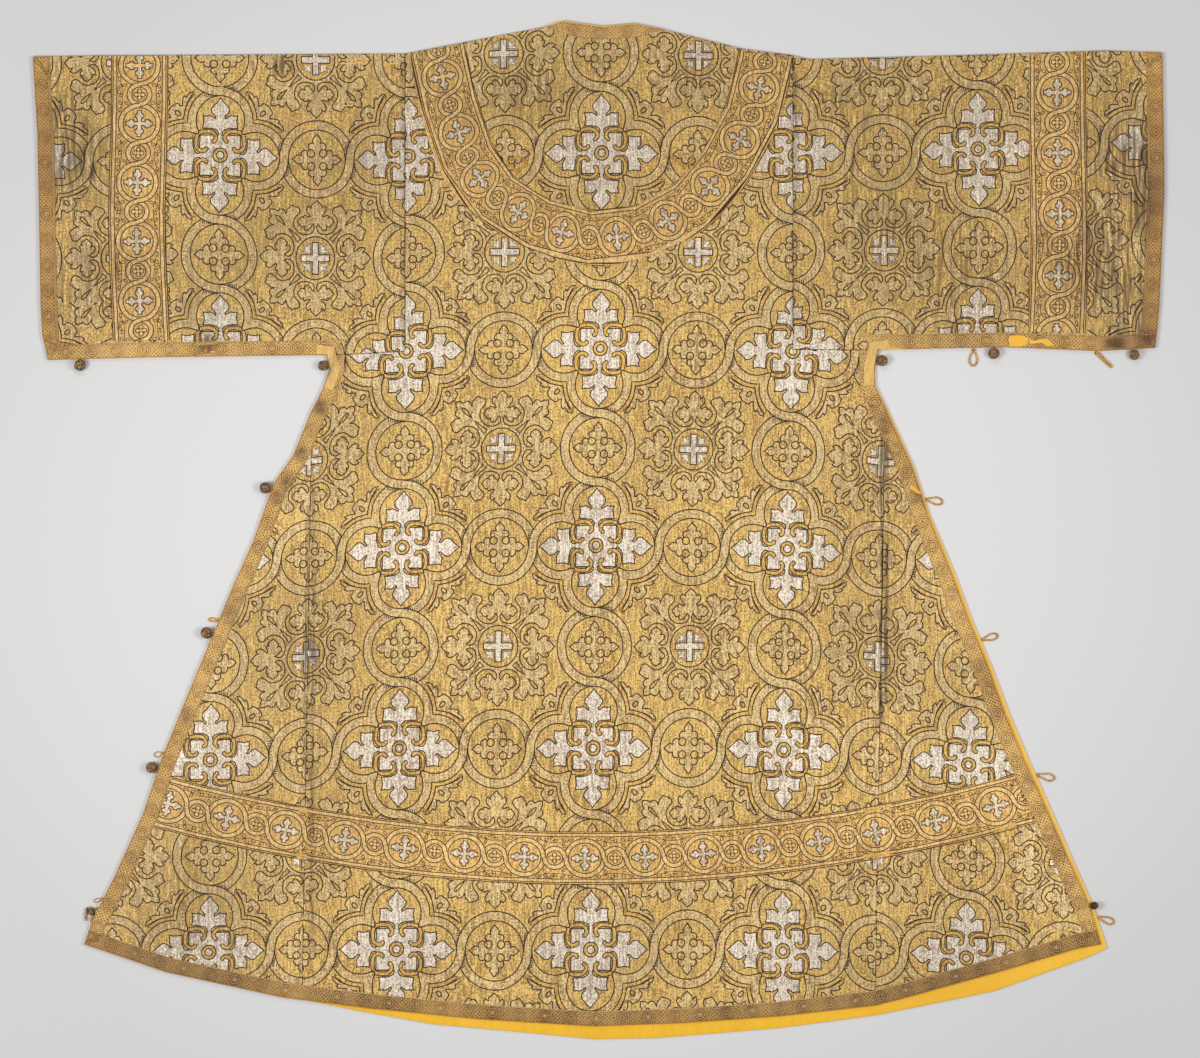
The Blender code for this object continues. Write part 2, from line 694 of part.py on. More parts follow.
def back_outlines():
    """The outlines of the back pieces, and of the lining that covers the back body and gores."""
    left_top = LEFT_SIDE.index(LEFT_GORE_TOP)
    wing_left = Spot(LEFT_ARMHOLE + SEAM, 229.5 - SEAM)
    wing_right = Spot(RIGHT_ARMHOLE - SEAM, 232.0 - SEAM)
    shoulders = [Spot(LEFT_ARMHOLE + SEAM, 609.9)] + list(SHOULDERS[1:-1])
    shoulders.append(Spot(RIGHT_ARMHOLE - SEAM, 607.8))
    top = shoulders + [wing_right]
    body = (
        top
        + moved(RIGHT_SIDE_BACK[:1], 0, -SEAM)
        + list(RIGHT_SIDE_BACK[1:4])
        + moved(BACK_HEM_MIDDLE[-1:], -SEAM, 0)
        + list(BACK_HEM_MIDDLE[-2:0:-1])
        + moved(BACK_HEM_MIDDLE[:1], SEAM, 0)
        + list(LEFT_SIDE[left_top - 1 : 0 : -1])
        + moved(LEFT_SIDE[:1], 0, -SEAM)
        + [wing_left]
    )
    left_gore = (
        list(LEFT_SIDE[left_top:])
        + list(HEM_LEFT[1:-1])
        + moved(HEM_LEFT[-1:], -SEAM, 0)
        + [Spot(LEFT_GORE_TOP.x + 2.0, LEFT_GORE_TOP.y)]
    )
    right_gore = (
        list(RIGHT_SIDE_BACK[4:])
        + list(BACK_HEM_RIGHT[-2:0:-1])
        + moved(BACK_HEM_RIGHT[:1], SEAM, 0)
        + [Spot(RIGHT_SIDE_BACK[4].x - 2.0, RIGHT_SIDE_BACK[4].y)]
    )
    left_sleeve = (
        list(LEFT_SLEEVE_TOP[:-1])
        + [Spot(LEFT_ARMHOLE - SEAM, 609.9), Spot(LEFT_ARMHOLE - SEAM, 229.5 + SEAM)]
        + moved(LEFT_SIDE[:1], 0, SEAM)
        + list(LEFT_UNDERARM[-2:0:-1])
        + list(LEFT_CUFF[:0:-1])
    )
    right_sleeve = (
        list(RIGHT_SLEEVE_TOP[1:])
        + list(RIGHT_CUFF[1:])
        + list(RIGHT_UNDERARM[1:-1])
        + moved(RIGHT_SIDE[:1], 0, SEAM)
        + [Spot(RIGHT_ARMHOLE + SEAM, 232.0 + SEAM), Spot(RIGHT_ARMHOLE + SEAM, 607.8)]
    )
    lining = (
        top
        + moved(RIGHT_SIDE_BACK[:1], 0, -SEAM)
        + list(RIGHT_SIDE_BACK[1:])
        + list(BACK_HEM_RIGHT[-2:0:-1])
        + list(BACK_HEM_MIDDLE[::-1])
        + list(HEM_LEFT[-2::-1])
        + list(LEFT_SIDE[-2:0:-1])
        + moved(LEFT_SIDE[:1], 0, -SEAM)
        + [wing_left]
    )
    return {
        "back_body": body,
        "back_gore_left": left_gore,
        "back_gore_right": right_gore,
        "back_sleeve_left": left_sleeve,
        "back_sleeve_right": right_sleeve,
        "lining": lining,
    }


def make_back(finishes):
    """The flat pieces under the front."""
    for name, outline in back_outlines().items():
        if name == "lining":
            flat_sheet(name, outline, LINING_BASE, LINING_BASE + LINING_WALL, finishes["silk"])
        elif "sleeve" in name:
            flat_sheet(name, outline, 0.0, SLEEVE_BACK_WALL, finishes["brocade"])
        else:
            flat_sheet(name, outline, 0.0, BACK_WALL, finishes["brocade"])


def clear_of(edge, x, y, clearance):
    """A place at this clearance from the edge, near to the given one, which lies outside the edge."""
    for attempt in range(6):
        away, foot = nearest(edge, x, y)
        if attempt == 0 or away < clearance:
            x = foot.x + (x - foot.x) * clearance / away
            y = foot.y + (y - foot.y) * clearance / away
    return Spot(x, y)


def make_button(button, edge, finish):
    """A wound ball that lies on the ground against the garment's edge."""
    radius = button.size / 2
    spot = clear_of(edge, button.x, button.y, radius + GAP)
    mesh = bmesh.new()
    bmesh.ops.create_uvsphere(mesh, u_segments=BUTTON_AROUND, v_segments=BUTTON_RINGS, radius=radius * MM)
    data = bpy.data.meshes.new(button.name)
    mesh.to_mesh(data)
    mesh.free()
    data.shade_smooth()
    data.materials.append(finish)
    placed = bpy.data.objects.new(button.name, data)
    placed.location = (spot.x * MM, spot.y * MM, (button.lift + radius + FLOOR_CLEAR) * MM)
    bpy.context.scene.collection.objects.link(placed)


def loop_outline(loop):
    """The closed middle line of a cord loop, from its root at the origin, pointing along X."""
    reach = min(loop.width * 0.62, loop.length * 0.36)
    found = []
    for i in range(LOOP_HEAD_STEPS + 1):
        turn = math.radians(-LOOP_HEAD_TURN + 2 * LOOP_HEAD_TURN * i / LOOP_HEAD_STEPS)
        middle = loop.length - loop.cord / 2 - reach
        across = (loop.width - loop.cord) / 2
        found.append(Vector((middle + reach * math.cos(turn), across * math.sin(turn))))
    root = LOOP_ROOT + (loop.cord - 2.6) / 2
    found.extend((Vector((root * 1.9, root)), Vector((0.0, root * 0.62))))
    found.extend((Vector((0.0, -root * 0.62)), Vector((root * 1.9, -root))))
    return found


def smooth_ring(spots, count):
    """Evenly counted points on a smooth closed curve through the spots."""
    found = []
    total = len(spots)
    for i in range(count):
        place = i * total / count
        k, t = int(place), place - int(place)
        p0, p1, p2, p3 = (spots[(k + j) % total] for j in (-1, 0, 1, 2))
        found.append(
            0.5
            * (
                2 * p1
                + (p2 - p0) * t
                + (2 * p0 - 5 * p1 + 4 * p2 - p3) * t * t
                + (3 * p1 - p0 - 3 * p2 + p3) * t * t * t
            )
        )
    return found


def loop_plan(loop, root):
    """The middle line of a loop whose root is at the given place."""
    turn = Matrix.Rotation(math.radians(loop.angle), 2)
    return [turn @ flat + Vector(root) for flat in smooth_ring(loop_outline(loop), LOOP_POINTS)]


def seated_plan(loop, edge):
    """The middle line of a loop that meets the garment's edge with a small gap."""
    clearance = loop.cord / 2 + LOOP_CLEAR
    root = clear_of(edge, loop.x, loop.y, LOOP_ROOT + clearance)
    spare = min(nearest(edge, *spot)[0] for spot in loop_plan(loop, root)) - clearance
    return loop_plan(loop, clear_of(edge, root.x, root.y, LOOP_ROOT + clearance - spare))


def make_loop(loop, plan, height, finish):
    """A round cord bent into a closed loop, at a height given for each plan point."""
    data = bpy.data.curves.new(loop.name, "CURVE")
    data.dimensions = "3D"
    data.bevel_depth = loop.cord / 2 * MM
    data.bevel_resolution = 2
    data.use_fill_caps = True
    spline = data.splines.new("POLY")
    spline.points.add(len(plan) - 1)
    for point, spot in zip(spline.points, plan):
        point.co = (spot.x * MM, spot.y * MM, height(spot.x, spot.y) * MM, 1.0)
    spline.use_cyclic_u = True
    data.materials.append(finish)
    placed = bpy.data.objects.new(loop.name, data)
    bpy.context.scene.collection.objects.link(placed)


def make_fastenings(finishes):
    """The buttons and loops at the edges, and the two loops on the front at the collar band."""
    front = front_edge()
    back = (
        list(LEFT_UNDERARM)
        + list(LEFT_SIDE[1:])
        + list(HEM_LEFT[1:-1])
        + list(BACK_HEM_MIDDLE)
        + list(BACK_HEM_RIGHT[1:])
        + list(RIGHT_SIDE_BACK[-2:0:-1])
        + list(RIGHT_UNDERARM[::-1])
    )
    for button in BUTTONS:
        make_button(button, front if button.lift else back, finishes["thread"])
    for loop in LOOPS:
        make_loop(
            loop,
            seated_plan(loop, back),
            lambda x, y, cord=loop.cord: cord / 2 + FLOOR_CLEAR,
            finishes["cord"],
        )
    for loop in COLLAR_LOOPS:
        make_loop(
            loop,
            loop_plan(loop, (loop.x, loop.y)),
            lambda x, y, cord=loop.cord: front_lift(x, y, front) + FRONT_WALL + 2 * GAP + cord / 2,
            finishes["cord"],
        )


def main():
    for old in list(bpy.data.objects):
        bpy.data.objects.remove(old)
    finishes = {
        "brocade": material("brocade", BROCADE),
        "band": material("band", BAND),
        "braid": material("braid", GOLD_BRAID),
        "ribbon": material("ribbon", PLAIN_RIBBON),
        "silk": material("silk", YELLOW_SILK),
        "thread": material("thread", WOUND_THREAD),
        "cord": material("cord", GOLD_CORD),
    }
    make_back(finishes)
    make_front(finishes)
    make_fastenings(finishes)


main()
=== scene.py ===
"""Sakkos laid flat, front up, on a pale ground.

Sizes are in millimetres in the garment's own plan: x to the right, y to the neck and z up. The brocade's repeat and
the bands' repeat are charted in a square or strip of their own and laid on each piece from there.
"""

import json
import logging
import math
from dataclasses import dataclass, field
from enum import Enum
from typing import Callable, Iterable, Sequence

import bpy
import numpy as np
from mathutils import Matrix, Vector
from mathutils.geometry import delaunay_2d_cdt

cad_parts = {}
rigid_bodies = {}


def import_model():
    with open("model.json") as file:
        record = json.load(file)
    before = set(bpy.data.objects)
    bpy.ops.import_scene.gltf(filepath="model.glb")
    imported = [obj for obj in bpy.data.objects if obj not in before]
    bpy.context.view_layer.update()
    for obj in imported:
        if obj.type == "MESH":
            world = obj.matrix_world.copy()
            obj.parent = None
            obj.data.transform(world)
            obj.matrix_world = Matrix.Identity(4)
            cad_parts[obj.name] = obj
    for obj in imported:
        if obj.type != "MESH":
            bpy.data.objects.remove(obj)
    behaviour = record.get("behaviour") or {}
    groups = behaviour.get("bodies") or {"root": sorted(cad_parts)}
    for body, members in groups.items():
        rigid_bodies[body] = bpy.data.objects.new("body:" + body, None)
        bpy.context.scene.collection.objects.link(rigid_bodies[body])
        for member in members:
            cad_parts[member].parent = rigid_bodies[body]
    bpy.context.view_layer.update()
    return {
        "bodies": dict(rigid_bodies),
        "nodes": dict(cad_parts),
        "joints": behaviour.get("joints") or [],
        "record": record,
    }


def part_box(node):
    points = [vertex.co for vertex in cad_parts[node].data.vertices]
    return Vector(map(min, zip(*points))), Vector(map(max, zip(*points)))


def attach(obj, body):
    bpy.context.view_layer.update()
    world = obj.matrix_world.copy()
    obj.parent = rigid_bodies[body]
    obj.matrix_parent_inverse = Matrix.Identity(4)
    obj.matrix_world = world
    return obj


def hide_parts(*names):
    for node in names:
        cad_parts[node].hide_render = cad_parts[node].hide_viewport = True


LOG = logging.getLogger("sakkos")
MM = 0.001
WOVEN = "_woven"
WOUND = "_wound"
Loop = np.ndarray

# Heights of the layers, as in the solid form
FRONT_BASE = 2.8
FRONT_WALL = 1.5
TRIM_GAP = 0.3
TRIM_WALL = 1.0
SWELL = 2.4
SWELL_REACH = 45.0

# How near to a sewn edge the seam's dark line shows, and how near to the garment's edge a braid runs along it
SEAM = 0.95
BESIDE = 0.8

# Soft folds of the front: a ridge from one point to another, its height and its half width
FOLDS = (
    (-368, 130, -377, -560, 2.2, 15), (356, 140, 352, -570, 2.4, 16), (378, 60, 384, -300, 1.4, 12),
    (-398, 30, -404, -260, 1.1, 13), (-668, 570, -655, 300, 1.9, 17), (-498, 590, -482, 340, 1.5, 20),
    (-334, 600, -345, 270, 2.2, 18), (-430, 560, -400, 470, 1.1, 16), (330, 590, 346, 270, 2.4, 17),
    (452, 595, 470, 300, 1.9, 16), (522, 570, 505, 290, 2, 15), (664, 590, 652, 270, 2.2, 15),
    (410, 520, 398, 330, 1.2, 14), (-152, 520, -190, -300, 1.3, 42), (122, 480, 160, -250, 1.4, 46),
    (2, 150, 12, -560, 1.1, 50), (-250, 180, -272, -560, 1.1, 36), (250, 200, 268, -520, 1.4, 34),
    (-478, -150, -556, -520, 1.9, 26), (440, -60, 556, -500, 2.1, 27), (-585, -420, -600, -530, 1.3, 18),
    (470, -330, 486, -560, 1.5, 20),
)

# Finer creases on them, and troughs where the height is less than nothing
CREASES = (
    (-352, 120, -358, -90, 0.8, 6), (-383, 20, -388, -200, -0.7, 7), (-343, -20, -352, -230, 0.6, 7),
    (-366, -250, -374, -470, -0.6, 8), (338, 120, 334, -60, 0.8, 6), (366, 60, 371, -150, -0.8, 6),
    (388, 10, 396, -190, 0.7, 7), (342, -160, 345, -380, -0.6, 8), (362, -240, 366, -460, 0.6, 7),
    (-686, 540, -676, 380, -0.7, 8), (-648, 590, -640, 430, 0.7, 7), (-520, 560, -512, 420, -0.6, 9),
    (-462, 470, -448, 290, 0.6, 8), (-372, 560, -378, 430, -0.6, 8), (-318, 520, -322, 330, 0.7, 8),
    (-290, 590, -284, 480, 0.6, 7), (290, 580, 296, 440, 0.7, 8), (312, 470, 318, 320, -0.7, 8),
    (372, 590, 376, 470, 0.6, 7), (430, 500, 436, 330, -0.7, 8), (488, 560, 486, 420, 0.7, 7),
    (640, 560, 634, 400, 0.8, 7), (686, 480, 690, 330, -0.8, 8), (676, 600, 684, 520, 0.6, 6),
    (-236, 590, -232, 300, 0.5, 9), (238, 590, 236, 310, 0.6, 9), (-420, -60, -448, -230, 0.5, 9),
    (-455, -300, -480, -470, 0.6, 9), (410, -90, 440, -250, 0.6, 9), (452, -270, 474, -430, -0.6, 9),
    (520, -380, 552, -500, 0.6, 9), (-300, 225, -336, 180, 0.6, 9), (300, 224, 340, 176, 0.7, 9),
    (-60, -470, -66, -600, 0.4, 12), (128, -460, 134, -600, 0.4, 12), (362, 124, 361, -240, -1.5, 2.4),
    (366, 120, 364.5, -220, 0.9, 2.2), (369.5, 120, 368, -210, -1.2, 2.2), (-363, 60, -367, -520, -1.2, 3.4),
    (-357, 40, -361, -300, 0.8, 3), (340, 60, 352, 10, 0.7, 4.2), (336, -10, 350, -70, 0.6, 4.6),
    (344, -90, 356, -150, 0.7, 4.4), (376, 40, 388, -30, 0.7, 4.4), (378, -60, 392, -140, 0.6, 4.8),
    (-330, 120, -342, 50, 0.7, 4.6), (-326, 20, -340, -60, 0.6, 4.8), (-334, -110, -346, -190, 0.6, 4.8),
    (-330, -220, -342, -290, 0.5, 4.8),
)

# Places where the cloth's colour is darkened, by tarnish, stains and wear, and broad darkening towards the neck, the
# shoulders and the sleeves: x, y, reach and amount, which is less than nothing where the colour turns to the fresh one
TONE_SPOTS = (
    (0, 234, 62, -0.6), (-501, 234, 11, 0.8), (411, 45, 9, 0.7), (551, -314, 8, 0.6), (-470, 430, 230, 0.22),
    (470, 430, 230, 0.24), (0, 590, 210, 0.3), (0, 330, 300, 0.08), (-684, 470, 60, 0.65), (-655, 330, 70, 0.5),
    (-640, 560, 70, 0.22), (-500, 300, 80, 0.22), (-360, 420, 110, 0.22), (-300, 540, 70, 0.18),
    (684, 480, 62, 0.62), (650, 350, 80, 0.6), (660, 570, 60, 0.38), (330, 560, 90, 0.3), (370, 380, 100, 0.3),
    (480, 290, 90, 0.28), (500, 560, 80, 0.2), (-100, 560, 40, 0.35), (130, 585, 36, 0.25),
    (-320, 120, 70, 0.22), (345, 40, 90, 0.22), (350, -120, 70, 0.25), (-360, -150, 90, 0.2),
    (-330, -360, 80, 0.18), (-480, -520, 80, 0.24), (-250, -545, 70, 0.12), (470, -545, 90, 0.26),
    (480, -200, 90, 0.2), (320, -560, 80, 0.2), (60, -540, 60, 0.16), (-570, -500, 80, 0.2),
    (-404, 596, 15, 0.75), (-690, 260, 60, 0.3), (690, 260, 60, 0.34), (-500, -330, 150, 0.2),
    (-560, -440, 110, 0.16), (-420, -120, 90, 0.2), (-700, 560, 40, 0.3), (705, 420, 40, 0.3),
    (-501, 241, 8, 0.8), (-357, 158, 9, 1), (-382, 101, 8, 0.9), (-398, 60, 11, 0.9), (-412, 42, 8, 0.8),
    (366, 143, 9, 1), (-470, -100, 10, 0.5), (-530, -240, 12, 0.5), (500, -190, 12, 0.5), (590, -400, 12, 0.4),
    (660, 236, 14, 0.6), (704, 246, 14, 0.7),
)

# Lines where the colour is darkened: painted shade along the creases by the gore seams and beside the armhole seams,
# and tarnish along the collar band; start, end, reach and amount
SHADE_AND_TARNISH_LINES = (
    (362, 130, 361, -250, 2.6, 0.9), (369, 130, 368, -220, 2.4, 0.7), (-363, 64, -367, -540, 4.5, 0.5),
    (-372, 30, -376, -300, 2.4, 0.5), (-249, 600, -249, 240, 3.2, 0.35), (250, 600, 250, 240, 3.2, 0.35),
    (-214, 620, -172, 490, 30, 0.2), (-110, 412, 100, 402, 34, 0.12), (165, 480, 214, 610, 30, 0.18),
    (-352, 190, -330, 231, 4, 0.4),
)

# The front pieces sewn to the body
SEWN = ("front_gore_left", "front_gore_right", "front_sleeve_left", "front_sleeve_right")

# Slits where the lining's yellow thread shows: the piece, start, end and width
SCARS = (
    ("front_body", -153, 231.6, -103, 232.2, 2.3),
    ("front_sleeve_left", -273.8, 596.6, -254, 597.4, 2.0),
    ("front_sleeve_left", -265.6, 549.0, -254, 549.6, 1.7),
    ("front_sleeve_left", -335, 597.2, -295, 598.4, 1.6),
    ("front_sleeve_left", -323.8, 602.4, -306.6, 603.0, 1.3),
    ("front_sleeve_left", -318, 566.6, -304, 567.4, 1.4),
    ("front_sleeve_left", -331, 543.0, -313.7, 544.0, 1.4),
    ("front_sleeve_left", -381, 516.2, -358, 517.0, 1.4),
    ("front_sleeve_left", -487, 566.8, -478, 567.2, 1.3),
    ("sleeve_band_left", -607, 595.4, -574, 596.2, 1.4),
    ("collar_band", -211, 577.2, -184.9, 585.2, 2.0),
    ("front_gore_right", 574, -513.4, 609, -511.8, 1.6),
    ("side_galloon_right", 397, 58, 414, 46, 5.0),
    ("underarm_galloon_left", -497, 228.4, -489, 228.8, 2.2),
)


class Tint(Enum):
    """The parts of a woven pattern, each with its own threads."""

    GROUND = 0
    BRIGHT = 1
    PALE = 2
    SILVER = 3
    LINE = 4


def arc(x: float, y: float, radius: float, start: float, end: float, step: float = 5.0) -> Loop:
    """Points on an arc.

    Args:
        x: Centre, to the right.
        y: Centre, upwards.
        radius: Radius.
        start: First angle in degrees.
        end: Last angle in degrees.
        step: Longest distance between points.

    Returns:
        The points, one a row.
    """
    count = max(3, math.ceil(abs(math.radians(end - start)) * radius / step))
    turn = np.radians(np.linspace(start, end, count + 1))
    return np.column_stack((x + radius * np.cos(turn), y + radius * np.sin(turn)))


def circle(x: float, y: float, radius: float, step: float = 5.0) -> Loop:
    """A whole circle, with at least eight points."""
    return arc(x, y, radius, 0, 360, min(step, radius * 0.75))[:-1]


def flowing(points: Sequence[Sequence[float]], corners: Iterable[int] = (), step: float = 3.0) -> Loop:
    """A closed smooth curve through points, sharp at the corners.

    Args:
        points: The points that it goes through.
        corners: Places in the list where the curve turns sharply.
        step: Longest distance between the made points.

    Returns:
        The points of the curve.
    """
    spots = np.array(points, float)
    sharp = {corner % len(spots) for corner in corners}
    before, after = np.roll(spots, 1, 0), np.roll(spots, -1, 0)
    found = []
    for i, start in enumerate(spots):
        j = (i + 1) % len(spots)
        end = spots[j]
        leave = (end - start) if i in sharp else (after[i] - before[i]) / 2
        reach = (end - start) if j in sharp else (after[j] - before[j]) / 2
        count = max(1, math.ceil(float(np.hypot(*(end - start))) / step))
        for k in range(count):
            t = k / count
            found.append(
                (2 * t**3 - 3 * t**2 + 1) * start
                + (t**3 - 2 * t**2 + t) * leave
                + (3 * t**2 - 2 * t**3) * end
                + (t**3 - t**2) * reach
            )
    return np.array(found)


def lined(points: Sequence[Sequence[float]], step: float = 3.0) -> Loop:
    """An open smooth curve through points, closely stepped.

    Args:
        points: The points it passes through.
        step: How far apart its own points may lie.

    Returns:
        The curve's points, both ends among them.
    """
    spots = np.array(points, float)
    padded = np.vstack((2 * spots[0] - spots[1], spots, 2 * spots[-1] - spots[-2]))
    found = []
    for p0, p1, p2, p3 in zip(padded, padded[1:], padded[2:], padded[3:]):
        count = max(1, math.ceil(float(np.hypot(*(p2 - p1))) / step))
        for k in range(count):
            t = k / count
            found.append(
                p1
                + (p2 - p0) * t / 2
                + (2 * p0 - 5 * p1 + 4 * p2 - p3) * t * t / 2
                + (3 * p1 - p0 - 3 * p2 + p3) * t**3 / 2
            )
    return np.array(found + [spots[-1]])


def normals(path: Loop, closed: bool) -> Loop:
    """The way to the left of a path at each of its points, longer at its corners.

    Args:
        path: The points.
        closed: Whether the last point joins the first.

    Returns:
        One vector a point, whose length keeps an offset's sides parallel.
    """
    runs = np.roll(path, -1, 0) - path
    if not closed:
        runs[-1] = runs[-2]
    units = runs / np.maximum(np.hypot(*runs.T), 1e-9)[:, None]
    before = np.roll(units, 1, 0)
    if not closed:
        before[0] = units[0]
    both = before + units
    both /= np.maximum(np.hypot(*both.T), 1e-9)[:, None]
    lean = np.clip((both * units).sum(1), 0.6, 1.0)
    return np.column_stack((-both[:, 1], both[:, 0])) / lean[:, None]


def signed_area(loop: Loop) -> float:
    """The area inside a loop, positive where it runs anticlockwise."""
    after = np.roll(loop, -1, 0)
    return float((loop[:, 0] * after[:, 1] - after[:, 0] * loop[:, 1]).sum() / 2)


def grown(loop: Loop, distance: float) -> Loop:
    """A loop made larger on every side, or smaller where the distance is negative."""
    ahead = loop if signed_area(loop) > 0 else loop[::-1]
    return ahead - normals(ahead, True) * distance


def stroke(path: Loop, width: float) -> Loop:
    """The closed outline of a line of even width."""
    side = normals(path, False) * (width / 2)
    return np.vstack((path - side, (path + side)[::-1]))


def around(loop: Loop) -> list[Loop]:
    """The loop turned to four sides.

    Args:
        loop: The loop.

    Returns:
        Four loops, each a quarter turn further.
    """
    turns = ((1, 0), (0, 1), (-1, 0), (0, -1))
    return [
        np.column_stack((loop[:, 0] * c - loop[:, 1] * s, loop[:, 0] * s + loop[:, 1] * c)) for c, s in turns
    ]


def mirrored(loop: Loop) -> Loop:
    """The loop with left and right changed."""
    return (loop * (-1, 1))[::-1]


def twofold(half: Sequence[Sequence[float]], diagonal: bool = False, step: float = 4.0) -> Loop:
    """A closed outline from one half of it.

    Args:
        half: Points from one end of the axis to the other, each with a third number that is 1 at a corner.
        diagonal: Whether the axis is the rising diagonal and not the upright.
        step: Longest distance between the made points.

    Returns:
        The whole outline.
    """
    own = np.array(half, float)
    other = own[-2:0:-1][:, (1, 0, 2)] if diagonal else own[-2:0:-1] * (-1, 1, 1)
    whole = np.vstack((own, other))
    return flowing(whole[:, :2], np.flatnonzero(whole[:, 2]), step)


def eightfold(eighth: Sequence[Sequence[float]], step: float = 4.0) -> Loop:
    """A closed outline from an eighth of it.

    Args:
        eighth: Points from the upright axis to the rising diagonal, each with a third number that is 1 at a corner.
        step: Longest distance between the made points.

    Returns:
        The whole outline.
    """
    own = np.array(eighth, float)
    quarter = np.vstack((own, own[-2:0:-1][:, (1, 0, 2)]))[::-1]
    whole = np.vstack(around(quarter[:, :2]))
    return flowing(whole, np.flatnonzero(np.tile(quarter[:, 2], 4)), step)


def winding(loop: Loop, points: Loop) -> np.ndarray:
    """How many times a loop goes round each point.

    Args:
        loop: A closed outline.
        points: The points.

    Returns:
        The turns at each point, fewer than none if it runs back.
    """
    x, y = points[:, 0], points[:, 1]
    count = np.zeros(len(points), int)
    for (x0, y0), (x1, y1) in zip(loop, np.roll(loop, -1, 0)):
        if y0 == y1:
            continue
        side = (x1 - x0) * (y - y0) - (x - x0) * (y1 - y0)
        if y1 > y0:
            count += (y0 <= y) & (y1 > y) & (side > 0)
        else:
            count -= (y0 > y) & (y1 <= y) & (side < 0)
    return count


def within(loop: Loop, points: Loop) -> np.ndarray:
    """Whether each point lies in a loop.

    Args:
        loop: A closed outline.
        points: The points.

    Returns:
        True for each point inside.
    """
    low, high = loop.min(0), loop.max(0)
    near = ((points >= low) & (points <= high)).all(1)
    found = np.zeros(len(points), bool)
    found[near] = winding(loop, points[near]) != 0
    return found


def away_from(segments: np.ndarray, points: Loop) -> np.ndarray:
    """The distance from each point to the nearest of some segments.

    Args:
        segments: Start x, start y, end x and end y, one segment a row.
        points: The points.

    Returns:
        One distance a point.
    """
    best = np.full(len(points), 1e12)
    x, y = points[:, 0], points[:, 1]
    for x0, y0, x1, y1 in segments:
        run_x, run_y = x1 - x0, y1 - y0
        length = run_x * run_x + run_y * run_y
        t = np.clip(((x - x0) * run_x + (y - y0) * run_y) / max(length, 1e-9), 0, 1)
        best = np.minimum(best, (x0 + t * run_x - x) ** 2 + (y0 + t * run_y - y) ** 2)
    return np.sqrt(best)


def segments_of(loop: Loop) -> np.ndarray:
    """A closed loop's segments."""
    return np.hstack((loop, np.roll(loop, -1, 0)))


def triangles(
    points: Loop, edges: Loop, bounded: bool = False, merge: float = 0.01
) -> tuple[Loop, np.ndarray, np.ndarray]:
    """Flat triangles that keep the edges.

    Args:
        points: The points.
        edges: Pairs of places in the list of points.
        bounded: Whether only the inside of the edges is filled.
        merge: Points nearer to each other than this become one.

    Returns:
        The points, with those where edges cross, three places in them for each triangle, and the place in them of
        each point given.
    """
    made = delaunay_2d_cdt([Vector(p) for p in points.tolist()], edges.tolist(), [], int(bounded), merge)
    places = np.zeros(len(points), int)
    for i, given in enumerate(made[3]):
        places[given] = i
    return np.array([tuple(p) for p in made[0]]), np.array(made[2]), places


def thinned(loop: Loop, tolerance: float) -> Loop:
    """A closed loop with fewer points, none of them missed by more than the tolerance.

    Args:
        loop: The closed loop.
        tolerance: How far off it a point may be left.

    Returns:
        The points that stay.
    """
    half = len(loop) // 2
    kept = np.zeros(len(loop), bool)
    kept[[0, half]] = True
    ring = np.vstack((loop, loop[:1]))
    runs = [(0, half), (half, len(loop))]
    while runs:
        first, last = runs.pop()
        if last - first < 2:
            continue
        away = away_from(np.array([(*ring[first], *ring[last])]), ring[first + 1 : last])
        worst = int(away.argmax())
        if away[worst] > tolerance:
            middle = first + 1 + worst
            kept[middle] = True
            runs.extend(((first, middle), (middle, last)))
    return loop[kept]


def lattice(outline: Loop, step: float, clear: float) -> Loop:
    """Staggered points inside an outline, clear of it.

    Args:
        outline: The edge.
        step: How far apart they lie.
        clear: How far from the edge they keep.

    Returns:
        The points.
    """
    low, high = outline.min(0), outline.max(0)
    found = [np.zeros((0, 2))]
    for i, y in enumerate(np.arange(low[1] + step / 2, high[1], step * 0.87)):
        xs = np.arange(low[0] + (step / 2 if i % 2 else 0), high[0], step)
        found.append(np.column_stack((xs, np.full(len(xs), y))))
    spots = np.vstack(found)
    spots = spots[within(outline, spots)]
    return spots[away_from(segments_of(outline), spots) > clear]


def new_object(
    name: str, points: np.ndarray, faces: np.ndarray, finishes: Sequence[bpy.types.Material]
) -> bpy.types.Object:
    """A smooth object in the scene.

    Args:
        name: The object's and its mesh's name.
        points: Its points in millimetres.
        faces: Places in the list of points, one row a face.
        finishes: The materials.

    Returns:
        The new object.
    """
    mesh = bpy.data.meshes.new(name)
    mesh.from_pydata((points * MM).tolist(), [], faces.tolist())
    for finish in finishes:
        mesh.materials.append(finish)
    mesh.shade_smooth()
    made = bpy.data.objects.new(name, mesh)
    bpy.context.scene.collection.objects.link(made)
    return made


def level(height: float) -> Callable[[Loop], np.ndarray]:
    """An even height for any points."""
    return lambda points: np.full(len(points), height)


def points_of(made: bpy.types.Object) -> np.ndarray:
    """An object's points in millimetres."""
    return np.array([v.co[:] for v in made.data.vertices]) / MM


def keep(made: bpy.types.Object, name: str, values: np.ndarray) -> None:
    """Keeps a number, or a row of three, with each point of an object.

    Args:
        made: The object.
        name: What the values are called.
        values: One value or row for each point.
    """
    kind, part = ("FLOAT", "value") if values.ndim == 1 else ("FLOAT_VECTOR", "vector")
    store = made.data.attributes.new(name, kind, "POINT")
    store.data.foreach_set(part, values.astype(np.float32).ravel())


